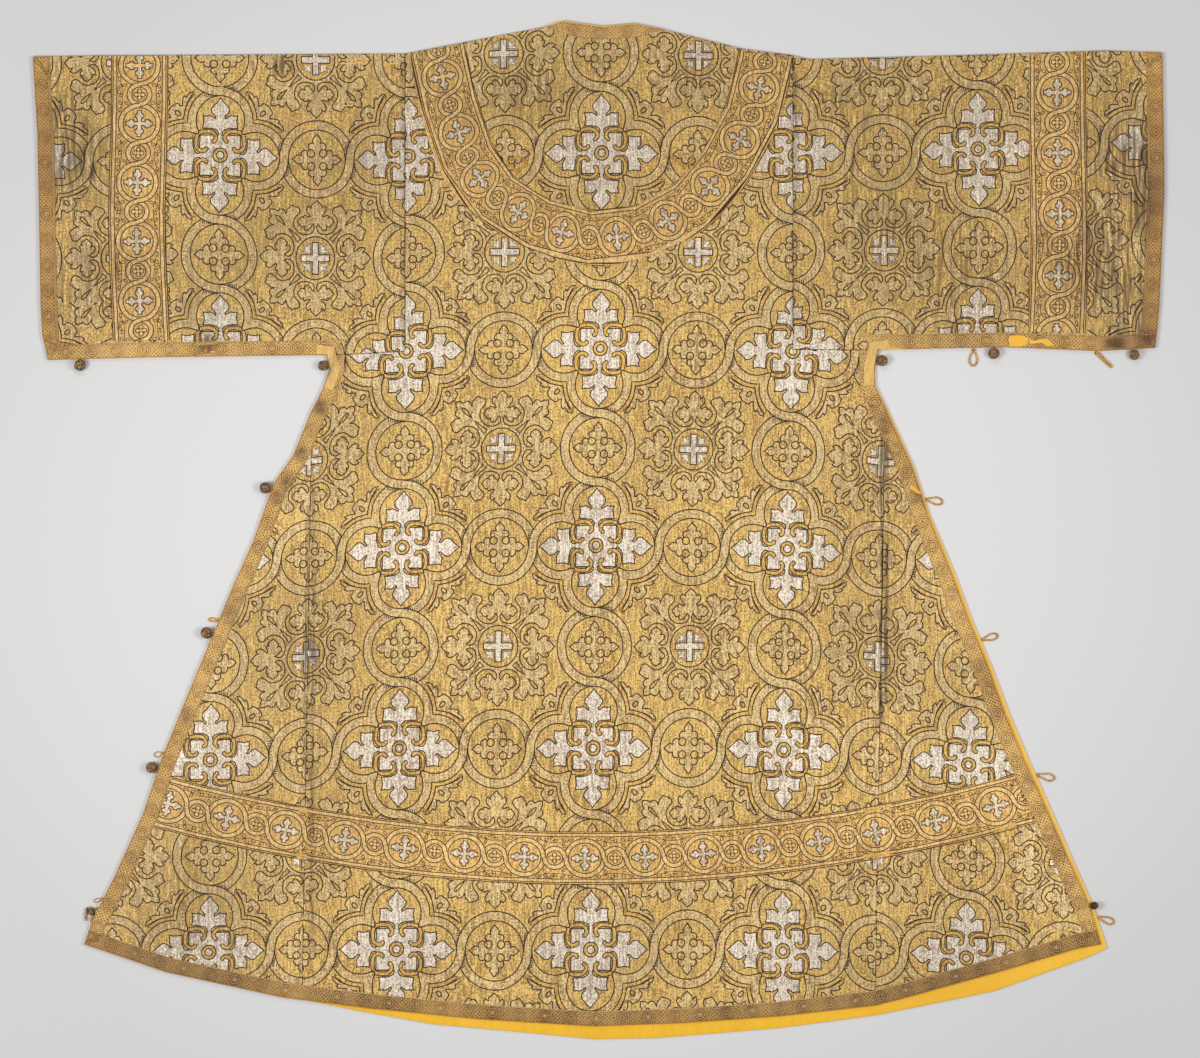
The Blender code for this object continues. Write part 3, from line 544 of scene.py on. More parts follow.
class Relief:
    """The height of the front's underside over the plan, on a fine grid."""

    STEP = 2.5
    LOW = np.array((-735.0, -665.0))
    HIGH = np.array((735.0, 665.0))

    def __init__(self, outer: np.ndarray) -> None:
        """Works the heights out.

        Args:
            outer: The segments of the whole front's outer edge.
        """
        self.xs = np.arange(self.LOW[0], self.HIGH[0] + self.STEP, self.STEP)
        self.ys = np.arange(self.LOW[1], self.HIGH[1] + self.STEP, self.STEP)
        flat = np.stack(np.meshgrid(self.xs, self.ys), -1).reshape(-1, 2)
        ease = 1 - np.exp(-((away_from(outer, flat) / SWELL_REACH) ** 1.5))
        total = np.full(len(flat), SWELL)
        for x0, y0, x1, y1, height, spread in FOLDS + CREASES:
            away = away_from(np.array([(x0, y0, x1, y1)], float), flat)
            total += height * np.exp(-((away / spread) ** 2))
        self.heights = (FRONT_BASE + ease * total).reshape(len(self.ys), len(self.xs))

    def lift(self, points: Loop) -> np.ndarray:
        """The height of the underside of the front at each point.

        Args:
            points: Points of the plan.

        Returns:
            The heights.
        """
        place = (points - self.LOW) / self.STEP
        i = np.clip(place[:, 0].astype(int), 0, len(self.xs) - 2)
        j = np.clip(place[:, 1].astype(int), 0, len(self.ys) - 2)
        u, v = place[:, 0] - i, place[:, 1] - j
        h = self.heights
        return (h[j, i] * (1 - u) + h[j, i + 1] * u) * (1 - v) + (h[j + 1, i] * (1 - u) + h[j + 1, i + 1] * u) * v


def wear(points: Loop) -> np.ndarray:
    """How much the cloth's colour is darkened at each point, up to 1, by tarnish, stains and painted shade along
    creases and seams, and how far it turns fresh, down to -1.

    Args:
        points: Points of the plan.

    Returns:
        One amount for each point.
    """
    total = np.zeros(len(points))
    for x, y, reach, amount in TONE_SPOTS:
        total += amount * np.exp(-((points - (x, y)) ** 2).sum(1) / reach**2)
    # Painted shade along creases and seams, and tarnish along the collar band
    for x0, y0, x1, y1, reach, amount in SHADE_AND_TARNISH_LINES:
        total += amount * np.exp(-((away_from(np.array([(x0, y0, x1, y1)], float), points) / reach) ** 2))
    return np.clip(total, -1, 1)


def scars_of(name: str) -> list[Loop]:
    """The outlines of the slits in a piece: long and thin, with pointed ends.

    Args:
        name: The piece.

    Returns:
        One outline for each slit.
    """
    found = []
    for piece, x0, y0, x1, y1, width in SCARS:
        if piece == name:
            start, end = np.array((x0, y0)), np.array((x1, y1))
            side = np.array((y0 - y1, x1 - x0)) / math.hypot(x1 - x0, y1 - y0) * width / 2
            t = np.array((0.0, 0.2, 0.45, 0.75))[:, None]
            upper = start + (end - start) * t + side * np.array((0.0, 0.8, 1.0, 0.6))[:, None]
            lower = end + (start - end) * t - side * np.array((0.0, 0.7, 1.0, 0.9))[:, None]
            found.append(np.vstack((upper, lower))[::-1])
    return found


def pleats(sharp: float = 5.0) -> list[Loop]:
    """Narrow outlines along the sharpest creases, so that the cloth bends there.

    Args:
        sharp: The half width from which on a crease counts as soft.

    Returns:
        One outline for each sharp crease.
    """
    found = []
    for x0, y0, x1, y1, _, spread in CREASES:
        if spread < sharp:
            line = np.column_stack((np.linspace(x0, x1, 24), np.linspace(y0, y1, 24)))
            found.extend((stroke(line, 2.6 * spread), stroke(line, 0.6)))
    return found


@dataclass(frozen=True)
class Patch:
    """One coloured shape of a pattern's chart, measured from its motif's centre."""

    tint: Tint
    loop: Loop
    centre: tuple[float, float]


class Chart:
    """A repeat, drawn as shapes that lie on each other in the order in which they are added."""

    def __init__(self, width: float, height: float, tolerance: float) -> None:
        """Starts an empty chart.

        Args:
            width: The repeat along x.
            height: The repeat along y.
            tolerance: How far a shape's straight runs may miss its curves.
        """
        self.size = np.array((width, height))
        self.tolerance = tolerance
        self.patches: list[Patch] = []
        self.centre = (0.0, 0.0)

    def add(self, tint: Tint, *loops: Loop) -> None:
        """Lays shapes of one tint on the chart."""
        self.patches.extend(Patch(tint, thinned(loop, self.tolerance), self.centre) for loop in loops)

    def outlined(self, tint: Tint, loops: Sequence[Loop], out: float = 1.0, into: float = 0.8) -> None:
        """Lays shapes with one outline round all of them.

        Args:
            tint: The fill.
            loops: The shapes.
            out: How far the outline reaches outside the shapes.
            into: How far it reaches inside.
        """
        self.add(Tint.LINE, *(grown(loop, out) for loop in loops))
        self.add(tint, *(grown(loop, -into) if into else loop for loop in loops))

    def tints(self, points: Loop) -> np.ndarray:
        """The tint's number at each point of the endless pattern.

        Args:
            points: Points of the pattern.

        Returns:
            One number for each point.
        """
        found = np.zeros(len(points), int)
        homes = {}
        for patch in self.patches:
            if patch.centre not in homes:
                homes[patch.centre] = (points - patch.centre + self.size / 2) % self.size - self.size / 2
            found[within(patch.loop, homes[patch.centre])] = patch.tint.value
        return found

    def loops_in(self, low: Loop, high: Loop) -> list[Loop]:
        """Every shape's outline in each repeat that reaches into a box of the pattern.

        Args:
            low: The box's low corner.
            high: The box's high corner.

        Returns:
            The outlines, in the pattern's own place.
        """
        first = np.floor(low / self.size).astype(int) - 1
        last = np.ceil(high / self.size).astype(int) + 1
        found = []
        for column in range(first[0], last[0] + 1):
            for row in range(first[1], last[1] + 1):
                shift = (column, row) * self.size
                for patch in self.patches:
                    loop = patch.loop + patch.centre + shift
                    if (loop.max(0) > low).all() and (loop.min(0) < high).all():
                        found.append(loop)
        return found


class BrocadeChart(Chart):
    """The brocade: quatrefoils with silver crosses, joined by roundels, and rosettes of leaves between them."""

    SIDE = 250.0
    LOBE = 45.5
    RIBBON = (31.0, 42.0)
    ROUNDEL = (37.2, 48.6)
    LINE_HALF = 0.74

    # An eighth of the rosette's edge, from the tip of a pointed leaf to the tip of a spreading one
    LEAVES = (
        (0, 73, 1), (4.2, 69.4, 0), (6.9, 66.3, 0), (7, 62.7, 1), (8.8, 64.4, 0), (10.8, 65.8, 1),
        (12.6, 63.6, 0), (13.2, 60.6, 0), (12.2, 57.6, 0), (7.6, 51.9, 1), (9.4, 50.6, 0), (12.3, 52.3, 0),
        (15.2, 52.9, 0), (17.2, 51.4, 0), (15.5, 49.3, 1), (19.2, 50.6, 0), (21.9, 47.7, 0), (24, 43.9, 1),
        (21.9, 40.8, 0), (18.2, 36.9, 0), (13.6, 38.8, 1), (15.1, 36.6, 0), (14.5, 34, 0), (12, 32.7, 0),
        (9.2, 33.6, 0), (6.9, 36.3, 0), (3.4, 41, 1), (1.7, 37.2, 0), (2.2, 33.2, 0), (4.9, 30.2, 0),
        (8.9, 28.6, 0), (14.1, 28, 0), (19.3, 29.1, 0), (23.5, 31.7, 0), (26.7, 35.6, 0), (28.5, 41, 0),
        (28.6, 46, 0), (26.7, 50.4, 0), (23.2, 54.1, 0), (21.2, 57.4, 0), (21.7, 61.2, 0), (24.4, 63.7, 0),
        (28.4, 64.4, 0), (32.6, 66.2, 1), (35.6, 62.4, 0), (38.2, 59.4, 0), (39, 53.2, 1), (40.6, 57.6, 0),
        (43.6, 60.4, 0), (47.2, 60.2, 0), (50, 57.6, 1), (54.2, 59.9, 0), (59.9, 59.9, 1),
    )

    # An eighth of the bud cross in a roundel
    BUDS = (
        (0, 32, 1), (3.4, 28.2, 0), (5.8, 24.6, 0), (4.6, 20.4, 1), (8.2, 21, 0), (11.3, 18.6, 0),
        (12.1, 15, 0), (10.4, 12.2, 1), (8, 8, 1),
    )

    # Half a sprig, from its inner corner to its outer one
    SPRIG = (
        (47.2, 47.2, 1), (45.9, 55.6, 0), (43.4, 65.2, 0), (39.7, 72.8, 0), (33.6, 81.8, 1), (38.2, 81.2, 0),
        (41.4, 78.4, 0), (43.8, 74.6, 1), (45.8, 76.8, 1), (48, 74, 0), (48.7, 69.4, 0), (48.7, 63.8, 1),
        (51.4, 64.2, 0), (54.6, 67.2, 0), (58.6, 66.2, 0), (61.4, 64.2, 0), (63.4, 63.4, 1),
    )

    # Half an arm of the silver cross, from its tip to the middle
    ARM = (
        (0, 73.6, 1), (3.4, 69, 0), (8.4, 63.8, 0), (11.4, 59.8, 0), (11.2, 56.2, 0), (8.8, 52.6, 0),
        (5.8, 49.6, 1), (6.6, 47, 1), (10.6, 49.8, 0), (13.6, 51.2, 0), (17.6, 50.4, 0), (22.2, 50.8, 1),
        (21.1, 45.4, 0), (21.5, 40, 0), (22.6, 35, 1), (10, 34.4, 0), (3, 30.6, 0), (2.6, 22, 1), (0, 22, 0),
    )

    def __init__(self, tolerance: float) -> None:
        """Draws the whole repeat, more plainly with a larger tolerance.

        Args:
            tolerance: How far off its shape an outline's point may be left out.
        """
        super().__init__(self.SIDE, self.SIDE, tolerance)
        self.centre = (self.SIDE / 2, 0.0)
        self.roundel()
        self.centre = (0.0, self.SIDE / 2)
        self.roundel()
        self.centre = (self.SIDE / 2, self.SIDE / 2)
        self.rosette()
        self.centre = (0.0, 0.0)
        self.sprigs()
        self.quatrefoil()
        self.silver_cross()
        self.crossings()

    def drawn(self, tint: Tint, *loops: Loop) -> None:
        """Lays shapes with the brocade's own even outline."""
        self.outlined(tint, loops, self.LINE_HALF, self.LINE_HALF)

    def quatrefoil(self) -> None:
        """The four-lobed ribbon round the cross."""
        inner, outer = self.RIBBON
        outside = np.vstack(around(arc(self.LOBE, 0, outer, -95.8, 95.8, 6.5)))
        inside = np.vstack(around(np.vstack((arc(self.LOBE, 0, inner, -115, 115, 5.5), [(28.0, 28.0)]))))
        self.drawn(Tint.PALE, outside)
        self.drawn(Tint.GROUND, inside)

    def sprigs(self) -> None:
        """The small leaves in the quatrefoil's outer corners, with a bright strip between them and the ribbon."""
        sprig = twofold(self.SPRIG, diagonal=True)
        strip = np.vstack((arc(0, self.LOBE, 47.0, 46, 4, 7), [(46.6, 46.6)], arc(self.LOBE, 0, 47.0, 86, 44, 7)))
        self.outlined(Tint.BRIGHT, around(np.vstack((strip, [(30.0, 30.0)]))), 0.7, 0.4)
        self.drawn(Tint.PALE, *around(sprig))
        turned = circle(0, 0, 1.0) * (4.2, 2.7) @ np.array(((0.7071, 0.7071), (-0.7071, 0.7071)))
        self.drawn(Tint.BRIGHT, *around(turned + (54.6, 54.6)))

    def silver_cross(self) -> None:
        """The silver cross with its gold hooks and ring."""
        core = flowing(((26.0, 12), (26.0, 26.0), (-26.0, 26.0), (-26.0, -26.0), (26.0, -26.0)), range(5), 9)
        self.outlined(Tint.SILVER, [*around(twofold(self.ARM)), core], 0.8, 0.65)
        spots = ((28.2, 28.8), (22.6, 30.4), (16.6, 30.9), (11.4, 30.2), (7.2, 27.0), (5.6, 22.0), (7.4, 18.0))
        path = lined(spots, 4.0)
        curl = circle(8.3, 17.9, 2.9)
        hooks, ends = [], []
        for one, end in ((path, curl), (mirrored(path), mirrored(curl))):
            hooks.extend(around(one))
            ends.extend(around(end))
        self.add(Tint.LINE, *(stroke(hook, 6.0) for hook in hooks), *(grown(end, 0.4) for end in ends))
        self.add(Tint.BRIGHT, *(stroke(hook, 3.5) for hook in hooks), *(grown(end, -0.9) for end in ends))
        tongue = np.array(((29.1, 29.1), (32.4, 29.2), (38.2, 31.3), (39.0, 39.0), (31.3, 38.2), (29.2, 32.4)))
        cusp = lined(((38.0, 30.1), (32.4, 28.1), (28.0, 28.0), (28.1, 32.4), (30.1, 38.0)), 4)
        self.add(Tint.PALE, *around(tongue))
        self.add(Tint.LINE, *around(stroke(cusp, 1.6)))
        self.drawn(Tint.BRIGHT, circle(0, 0, 9.4, 4))
        self.outlined(Tint.SILVER, [circle(0, 0, 5.0, 3.5)], 0.75, 0.6)

    def roundel(self) -> None:
        """A ring with a small cross of buds in it."""
        inner, outer = self.ROUNDEL
        self.drawn(Tint.PALE, circle(0, 0, outer, 6.5))
        self.drawn(Tint.GROUND, circle(0, 0, inner, 6))
        self.outlined(Tint.PALE, [eightfold(self.BUDS)], 0.75, 0.75)
        self.outlined(Tint.GROUND, around(circle(8.0, 8.0, 5.0)), 0.7, 0.75)

    def rosette(self) -> None:
        """Four pointed and four spreading leaves round a ring with a Greek cross."""
        self.drawn(Tint.PALE, eightfold(self.LEAVES))
        drop = twofold(((38.6, 38.6, 1), (43.8, 46.4, 0), (47.8, 50.8, 0), (51.8, 51.8, 0)), diagonal=True)
        dart = twofold(((21.2, 21.2, 0), (19.0, 23.4, 1), (35.6, 35.6, 1)), diagonal=True)
        self.outlined(Tint.GROUND, around(drop), 0.75, 0.7)
        self.outlined(Tint.GROUND, around(dart), 0.7, 0.6)
        self.drawn(Tint.GROUND, circle(0, 0, 25.6, 5))
        flag = twofold(((6.4, 6.4, 1), (6.6, 17.8, 1), (10.4, 13.4, 1), (15.8, 15.8, 1)), diagonal=True, step=12)
        cross = np.vstack(around(np.array(((18.8, -4.1), (18.8, 4.1), (4.1, 4.1)))))
        self.add(Tint.BRIGHT, grown(cross, 2.6), *around(grown(flag, 1.7)))
        self.outlined(Tint.SILVER, around(flag), 0.5, 0.3)
        self.outlined(Tint.SILVER, [cross], 0.75, 0.7)

    def ring_part(self, x: float, y: float, radii: tuple[float, float], start: float, end: float) -> Loop:
        """A part of a ring, as a closed shape."""
        return np.vstack((arc(x, y, radii[1], start, end, 6.5), arc(x, y, radii[0], end, start, 6)))

    def crossings(self) -> None:
        """Shades the lower strands where the ribbons cross, and lays the upper ones over them."""
        inner, outer = self.ROUNDEL
        line = self.LINE_HALF
        half = self.SIDE / 2
        for centre, starts in (((half, 0.0), (130, 310)), ((0.0, half), (220, 40))):
            self.centre = centre
            for start in starts:
                self.add(Tint.LINE, *self.shading(start - 40))
                wide = self.ring_part(0, 0, (inner - line, outer + line), start, start + 50)
                thin = self.ring_part(0, 0, (inner + line, outer - line), start, start + 50)
                self.add(Tint.LINE, wide)
                self.add(Tint.PALE, thin)
        self.centre = (0.0, 0.0)

    def shading(self, turn: float) -> list[Loop]:
        """Short slanted lines on both lower strands beside the upper one.

        Args:
            turn: How far the crossing at a roundel's top is turned, in degrees.

        Returns:
            The lines' outlines.
        """
        c, s = math.cos(math.radians(turn)), math.sin(math.radians(turn))
        apart = self.SIDE / 2 - self.LOBE
        found = []
        for k in range(5):
            for up, radius, angle in ((apart, 42.6, 240 + 3.4 * k), (0.0, 49.0, 64 + 3.4 * k)):
                spots = []
                for far, lean in ((radius, 0), (radius + 4.2 - 0.6 * k, 3.5)):
                    way = math.radians(angle + lean)
                    spots.append((far * math.cos(way), up + far * math.sin(way)))
                found.append(stroke(np.array(spots), 1.1) @ np.array(((c, s), (-s, c))))
        return found


class BandChart(Chart):
    """The woven bands: large and small rings of one laced strand, with crosses in them and leaves beside them."""

    REPEAT = 75.6
    WIDTH = 71.8
    LARGE = (20.6, 26.6)
    SMALL = (9.9, 15.8)
    TALL = 400.0

    # Leaflets beside a small ring: along, across and the way each points
    LEAFLETS = (
        (-20.4, 25, 10), (-12.2, 18.4, 60), (-10.6, 24.5, 30), (0.8, 22.9, 45), (-3.4, 25.6, -30),
        (10.6, 24.5, -25), (11.4, 16.6, -60), (19.6, 24.5, 10),
    )

    # Half an arm of the large cross, stepped as it is woven
    ARM = (
        (16.4, 2.0), (12.8, 2.0), (12.8, 3.5), (11.4, 3.5), (11.4, 4.8),
        (8.6, 4.8), (8.6, 3.5), (7.2, 3.5), (7.2, 2.0),
    )

    def __init__(self) -> None:
        """Draws the repeat, along x, with the band's middle at y = 0."""
        super().__init__(self.REPEAT, self.TALL, 0.08)
        self.borders()
        self.centre = (self.REPEAT / 2, 0.0)
        self.leaves()
        self.centre = (0.0, 0.0)
        self.ring(self.LARGE)
        self.centre = (self.REPEAT / 2, 0.0)
        self.ring(self.SMALL)
        self.small_cross()
        self.centre = (0.0, 0.0)
        for start in (0, 180):
            for tint, d in ((Tint.LINE, 0.6), (Tint.PALE, -0.7)):
                outer = arc(0, 0, self.LARGE[1] + d, start, start + 62, 4)
                inner = arc(0, 0, self.LARGE[0] - d, start + 62, start, 4)
                self.add(tint, np.vstack((outer, inner)))
        self.large_cross()

    def ring(self, radii: tuple[float, float]) -> None:
        """A ring of the laced strand."""
        self.outlined(Tint.PALE, [circle(0, 0, radii[1], 4.2)], 0.6, 0.7)
        self.outlined(Tint.GROUND, [circle(0, 0, radii[0], 4.2)], 0.7, 0.6)

    def borders(self) -> None:
        """The stripes along both edges."""
        half = self.REPEAT / 2
        ticks = np.linspace(-half, half, 10)
        for side in (1, -1):
            for tint, low, high in (
                (Tint.LINE, 28.0, 35.9),
                (Tint.PALE, 29.2, 32.6),
                (Tint.GROUND, 33.8, 34.8),
            ):
                lower = np.column_stack((ticks, np.full(10, side * low)))
                upper = np.column_stack((ticks[::-1], np.full(10, side * high)))
                self.add(tint, np.vstack((lower, upper)))

    def leaves(self) -> None:
        """Leaflets on a bent stem, between the rings and the border."""
        stem = lined(((-24, 26.6), (-13, 22.2), (-5, 20.8), (5, 21.2), (13, 21.6), (24, 26.6)), 6)
        almond = np.array(((-2.9, 0), (-1.1, -1.35), (1.3, -1.3), (2.9, 0), (1.3, 1.3), (-1.1, 1.35)))
        shapes = []
        for x, y, angle in self.LEAFLETS:
            turn = math.radians(angle)
            c, s = math.cos(turn), math.sin(turn)
            shapes.append(almond @ np.array(((c, s), (-s, c))) + (x, y))
        for flip in (1, -1):
            self.add(Tint.LINE, stroke(stem * (1, flip), 0.8))
            self.outlined(Tint.PALE, [shape * (1, flip) for shape in shapes], 0.6, 0.35)

    def large_cross(self) -> None:
        """The silver cross with a stepped bulge near the end of each arm."""
        half = np.array((*self.ARM, (2.0, 2.0)))
        arm = np.vstack((half[:-1][::-1] * (1, -1), half))
        self.outlined(Tint.SILVER, [np.vstack(around(arm))], 1.2, 0)

    def small_cross(self) -> None:
        """The small gold cross of four petals."""
        self.outlined(Tint.PALE, [*around(circle(4.4, 0, 2.3)), circle(0, 0, 2.0)], 1.1, 0)


@dataclass(frozen=True)
class Drift:
    """How the cloth leans and sags: how far the weave lies from its even place, at stations over the plan.

    Each row has its y, then how far the weave lies to the right and how far down at each column.
    """

    columns: tuple[float, ...]
    rows: tuple[tuple[float, tuple[float, ...], tuple[float, ...]], ...]

    def at(self, points: Loop) -> Loop:
        """How far the weave has moved at each point of the plan.

        Args:
            points: Points of the plan.

        Returns:
            The way across and up, one row for each point.
        """
        levels, across, down = (np.array(part, float) for part in zip(*self.rows))
        u = np.interp(points[:, 0], self.columns, np.arange(len(self.columns)))
        v = np.interp(-points[:, 1], -levels, np.arange(len(levels)))
        i = np.minimum(u.astype(int), len(self.columns) - 2)
        j = np.minimum(v.astype(int), len(levels) - 2)
        u, v = u - i, v - j
        found = []
        for table in (across, -down):
            upper = table[j, i] * (1 - u) + table[j, i + 1] * u
            lower = table[j + 1, i] * (1 - u) + table[j + 1, i + 1] * u
            found.append(upper * (1 - v) + lower * v)
        return np.column_stack(found)


@dataclass(frozen=True)
class Phase:
    """Where the brocade's repeat falls on a piece of cloth: the quatrefoil rows, their first column and its repeat."""

    rows: tuple[float, ...]
    columns: tuple[float, ...]
    repeat: float = 248.4
    drift: Drift | None = None

    def _tables(self) -> tuple[np.ndarray, np.ndarray, np.ndarray]:
        """Rows in the chart, and their y and x in the plan, with a row more at both ends.

        Returns:
            The three lists, with the lowest row first.
        """
        y, x = np.array(self.rows), np.array(self.columns)
        y = np.concatenate(([2 * y[0] - y[1]], y, [2 * y[-1] - y[-2]]))
        x = np.concatenate(([2 * x[0] - x[1]], x, [2 * x[-1] - x[-2]]))
        v = -np.arange(len(y)) * BrocadeChart.SIDE
        return v[::-1], y[::-1], x[::-1]

    def place(self, spots: Loop) -> Loop:
        """Points of the chart, on the plan.

        Args:
            spots: Points of the chart.

        Returns:
            The same points of the plan.
        """
        v, y, x = self._tables()
        across = np.interp(spots[:, 1], v, x) + spots[:, 0] * self.repeat / BrocadeChart.SIDE
        even = np.column_stack((across, np.interp(spots[:, 1], v, y)))
        return even + self.drift.at(even) if self.drift else even

    def find(self, points: Loop) -> Loop:
        """Points of the plan, on the chart.

        Args:
            points: Points of the plan.

        Returns:
            The same points of the chart.
        """
        v, y, x = self._tables()
        even = points
        for _ in range(6 if self.drift else 0):
            even = points - self.drift.at(even)
        across = (even[:, 0] - np.interp(even[:, 1], y, x)) * BrocadeChart.SIDE / self.repeat
        return np.column_stack((across, np.interp(even[:, 1], y, v)))


class Course:
    """A line through the plan that a band or braid follows: along it, and to its left."""

    def __init__(self, path: Loop) -> None:
        """Steps the path closely.

        Args:
            path: The points that it goes through.
        """
        runs = np.hypot(*np.diff(path, axis=0).T)
        whole = np.concatenate(([0.0], np.cumsum(runs)))
        self.along = np.linspace(0, whole[-1], max(3, round(whole[-1] / 4)))
        self.path = np.column_stack([np.interp(self.along, whole, path[:, i]) for i in (0, 1)])
        ahead = np.gradient(self.path, axis=0)
        for _ in range(2):
            ahead[1:-1] = (ahead[:-2] + ahead[1:-1] + ahead[2:]) / 3
        self.ahead = ahead / np.hypot(*ahead.T)[:, None]
        self.left = np.column_stack((-self.ahead[:, 1], self.ahead[:, 0]))

    def place(self, spots: Loop) -> Loop:
        """Points given along and across the course, on the plan.

        Args:
            spots: The way along, and the way to the left, of each.

        Returns:
            The same points of the plan.
        """
        s = np.clip(spots[:, 0], 0, self.along[-1])
        over = (spots[:, 0] - s)[:, None]
        path, left, ahead = (
            np.column_stack([np.interp(s, self.along, table[:, i]) for i in (0, 1)])
            for table in (self.path, self.left, self.ahead)
        )
        return path + left * spots[:, 1:] + ahead * over

    def find(self, points: Loop) -> Loop:
        """Points of the plan, as along and across the course.

        Args:
            points: Points of the plan.

        Returns:
            The way along, and the way to the left, of each.
        """
        found = []
        for part in np.array_split(points, max(1, len(points) // 2000)):
            apart = part[:, None, :] - self.path[None]
            near = (apart**2).sum(2).argmin(1)
            apart = apart[np.arange(len(part)), near]
            along = self.along[near] + (apart * self.ahead[near]).sum(1)
            found.append(np.column_stack((along, (apart * self.left[near]).sum(1))))
        return np.vstack(found)


def outline_of(node: bpy.types.Object) -> Loop:
    """The outer edge of a solid sheet's upper side.

    Args:
        node: The solid.

    Returns:
        Its points in millimetres, anticlockwise.
    """
    mesh = node.data
    spots = np.array([v.co[:2] for v in mesh.vertices]) / MM
    keys = [tuple(spot) for spot in np.round(spots, 2).tolist()]
    edges = {}
    for face in mesh.polygons:
        if face.normal.z > 0.3:
            ring = [keys[i] for i in face.vertices]
            edges.update({(a, b): True for a, b in zip(ring, ring[1:] + ring[:1]) if a != b})
    ahead = {a: b for a, b in edges if (b, a) not in edges}
    start = min(ahead)
    found = [start]
    while ahead[found[-1]] != start and len(found) <= len(ahead):
        found.append(ahead[found[-1]])
    return np.array(found)


@dataclass
class Shell:
    """A thin closed piece of cloth: a detailed face, its edge all round, and a plainer other face."""

    name: str
    outline: Loop
    loops: Sequence[Loop] = ()
    step: float = 9.0
    back_step: float = 12.0
    rim: float = 1.1
    place: Callable[[Loop], Loop] | None = None
    points: Loop = field(init=False)
    faces: np.ndarray = field(init=False)

    # How far the rim lies under the detailed face, and over it where that face looks down
    EDGE_DROP = 0.35
    UNDER_DROP = -0.2

    def __post_init__(self) -> None:
        """Triangulates the detailed face in its flat form."""
        rim = grown(self.outline, -self.rim)
        inner = [loop for loop in self.loops if (loop.max(0) > self.outline.min(0)).all()]
        spots, edges, count = [self.outline, rim], [self._ring(0, len(self.outline))], len(self.outline)
        edges.append(self._ring(count, len(rim)))
        count += len(rim)
        for loop in inner:
            keep = self._kept(loop)
            if keep.any():
                spots.append(loop)
                edges.append(self._ring(count, len(loop))[keep])
                count += len(loop)
        free = lattice(self.outline, self.step, 3.0)
        points = np.vstack([*spots, free])
        pairs = np.vstack(edges)
        used = np.unique(np.concatenate((pairs.ravel(), np.arange(count, len(points)))))
        order = np.zeros(len(points), int)
        order[used] = np.arange(len(used))
        points, faces, _ = triangles(points[used], order[pairs])
        faces = faces[within(self.outline, points[faces].mean(1))]
        used = np.unique(faces)
        self.points, self.faces = points[used], np.searchsorted(used, faces)

    def _ring(self, first: int, count: int) -> np.ndarray:
        """The edges of a closed loop whose points start at a place in the list."""
        return np.column_stack((np.arange(count), (np.arange(count) + 1) % count)) + first

    def _kept(self, loop: Loop) -> np.ndarray:
        """Which of a loop's segments reach into the outline."""
        inside = within(self.outline, loop)
        return inside | np.roll(inside, -1)

    def middles(self) -> Loop:
        """The middle of each triangle of the detailed face."""
        return self.points[self.faces].mean(1)

    def build(
        self,
        front: Callable[[Loop], np.ndarray],
        behind: Callable[[Loop], np.ndarray],
        marks: np.ndarray,
        finishes: Sequence[bpy.types.Material],
        under: bool = False,
    ) -> bpy.types.Object:
        """Makes the piece.

        Args:
            front: The detailed face's height at points of the plan.
            behind: The other face's height.
            marks: The finish's number for each triangle of the detailed face.
            finishes: The materials.
            under: Whether the detailed face looks down.

        Returns:
            The new object.
        """
        lone, size = self._edge(), len(self.points)
        rim = np.unique(lone)
        order = np.zeros(size, int)
        order[rim] = np.arange(len(rim))
        inner = lattice(self.outline, self.back_step, 4.0)
        low_points, low_faces, match = triangles(np.vstack((self.points[rim], inner)), order[lone], True, 1e-6)
        place = self.place or (lambda spots: spots)
        flat, low_flat = place(self.points), place(low_points)
        high = front(flat)
        high[rim] -= self.UNDER_DROP if under else self.EDGE_DROP
        spots = np.vstack((np.column_stack((flat, high)), np.column_stack((low_flat, behind(low_flat)))))
        a, b = lone[:, 0], lone[:, 1]
        low_a, low_b = match[order[a]] + size, match[order[b]] + size
        skirt = np.vstack((np.column_stack((b, a, low_a)), np.column_stack((b, low_a, low_b))))
        every = np.vstack((self.faces, skirt, low_faces[:, ::-1] + size))
        if under:
            every = every[:, ::-1]
        made = new_object(self.name + WOVEN, spots, every, finishes)
        numbers = np.zeros(len(every), np.int32)
        numbers[: len(marks)] = marks
        made.data.polygons.foreach_set("material_index", numbers)
        made.data.validate()
        made.data.set_sharp_from_angle(angle=math.radians(50))
        # Stores the darkening for the materials: tarnish and stains, and painted shade along creases and seams
        keep(made, "wear", wear(np.vstack((flat, low_flat))))
        return made

    def _edge(self) -> np.ndarray:
        """The edges of the detailed face that only one triangle has.

        Returns:
            Two points' places in the list for each edge.
        """
        faces, size = self.faces, len(self.points)
        pairs = np.vstack((faces[:, [0, 1]], faces[:, [1, 2]], faces[:, [2, 0]]))
        forward = pairs[:, 0] * size + pairs[:, 1]
        return pairs[~np.isin(forward, pairs[:, 1] * size + pairs[:, 0])]


def linear(red: int, green: int, blue: int) -> tuple[float, float, float, float]:
    """A colour as seen, from 0 to 255, as light.

    Args:
        red: How red it is.
        green: How green it is.
        blue: How blue it is.

    Returns:
        The three amounts of light, and 1 for full cover.
    """
    found = [c / 255 for c in (red, green, blue)]
    found = [c / 12.92 if c <= 0.04045 else ((c + 0.055) / 1.055) ** 2.4 for c in found]
    return (found[0], found[1], found[2], 1.0)


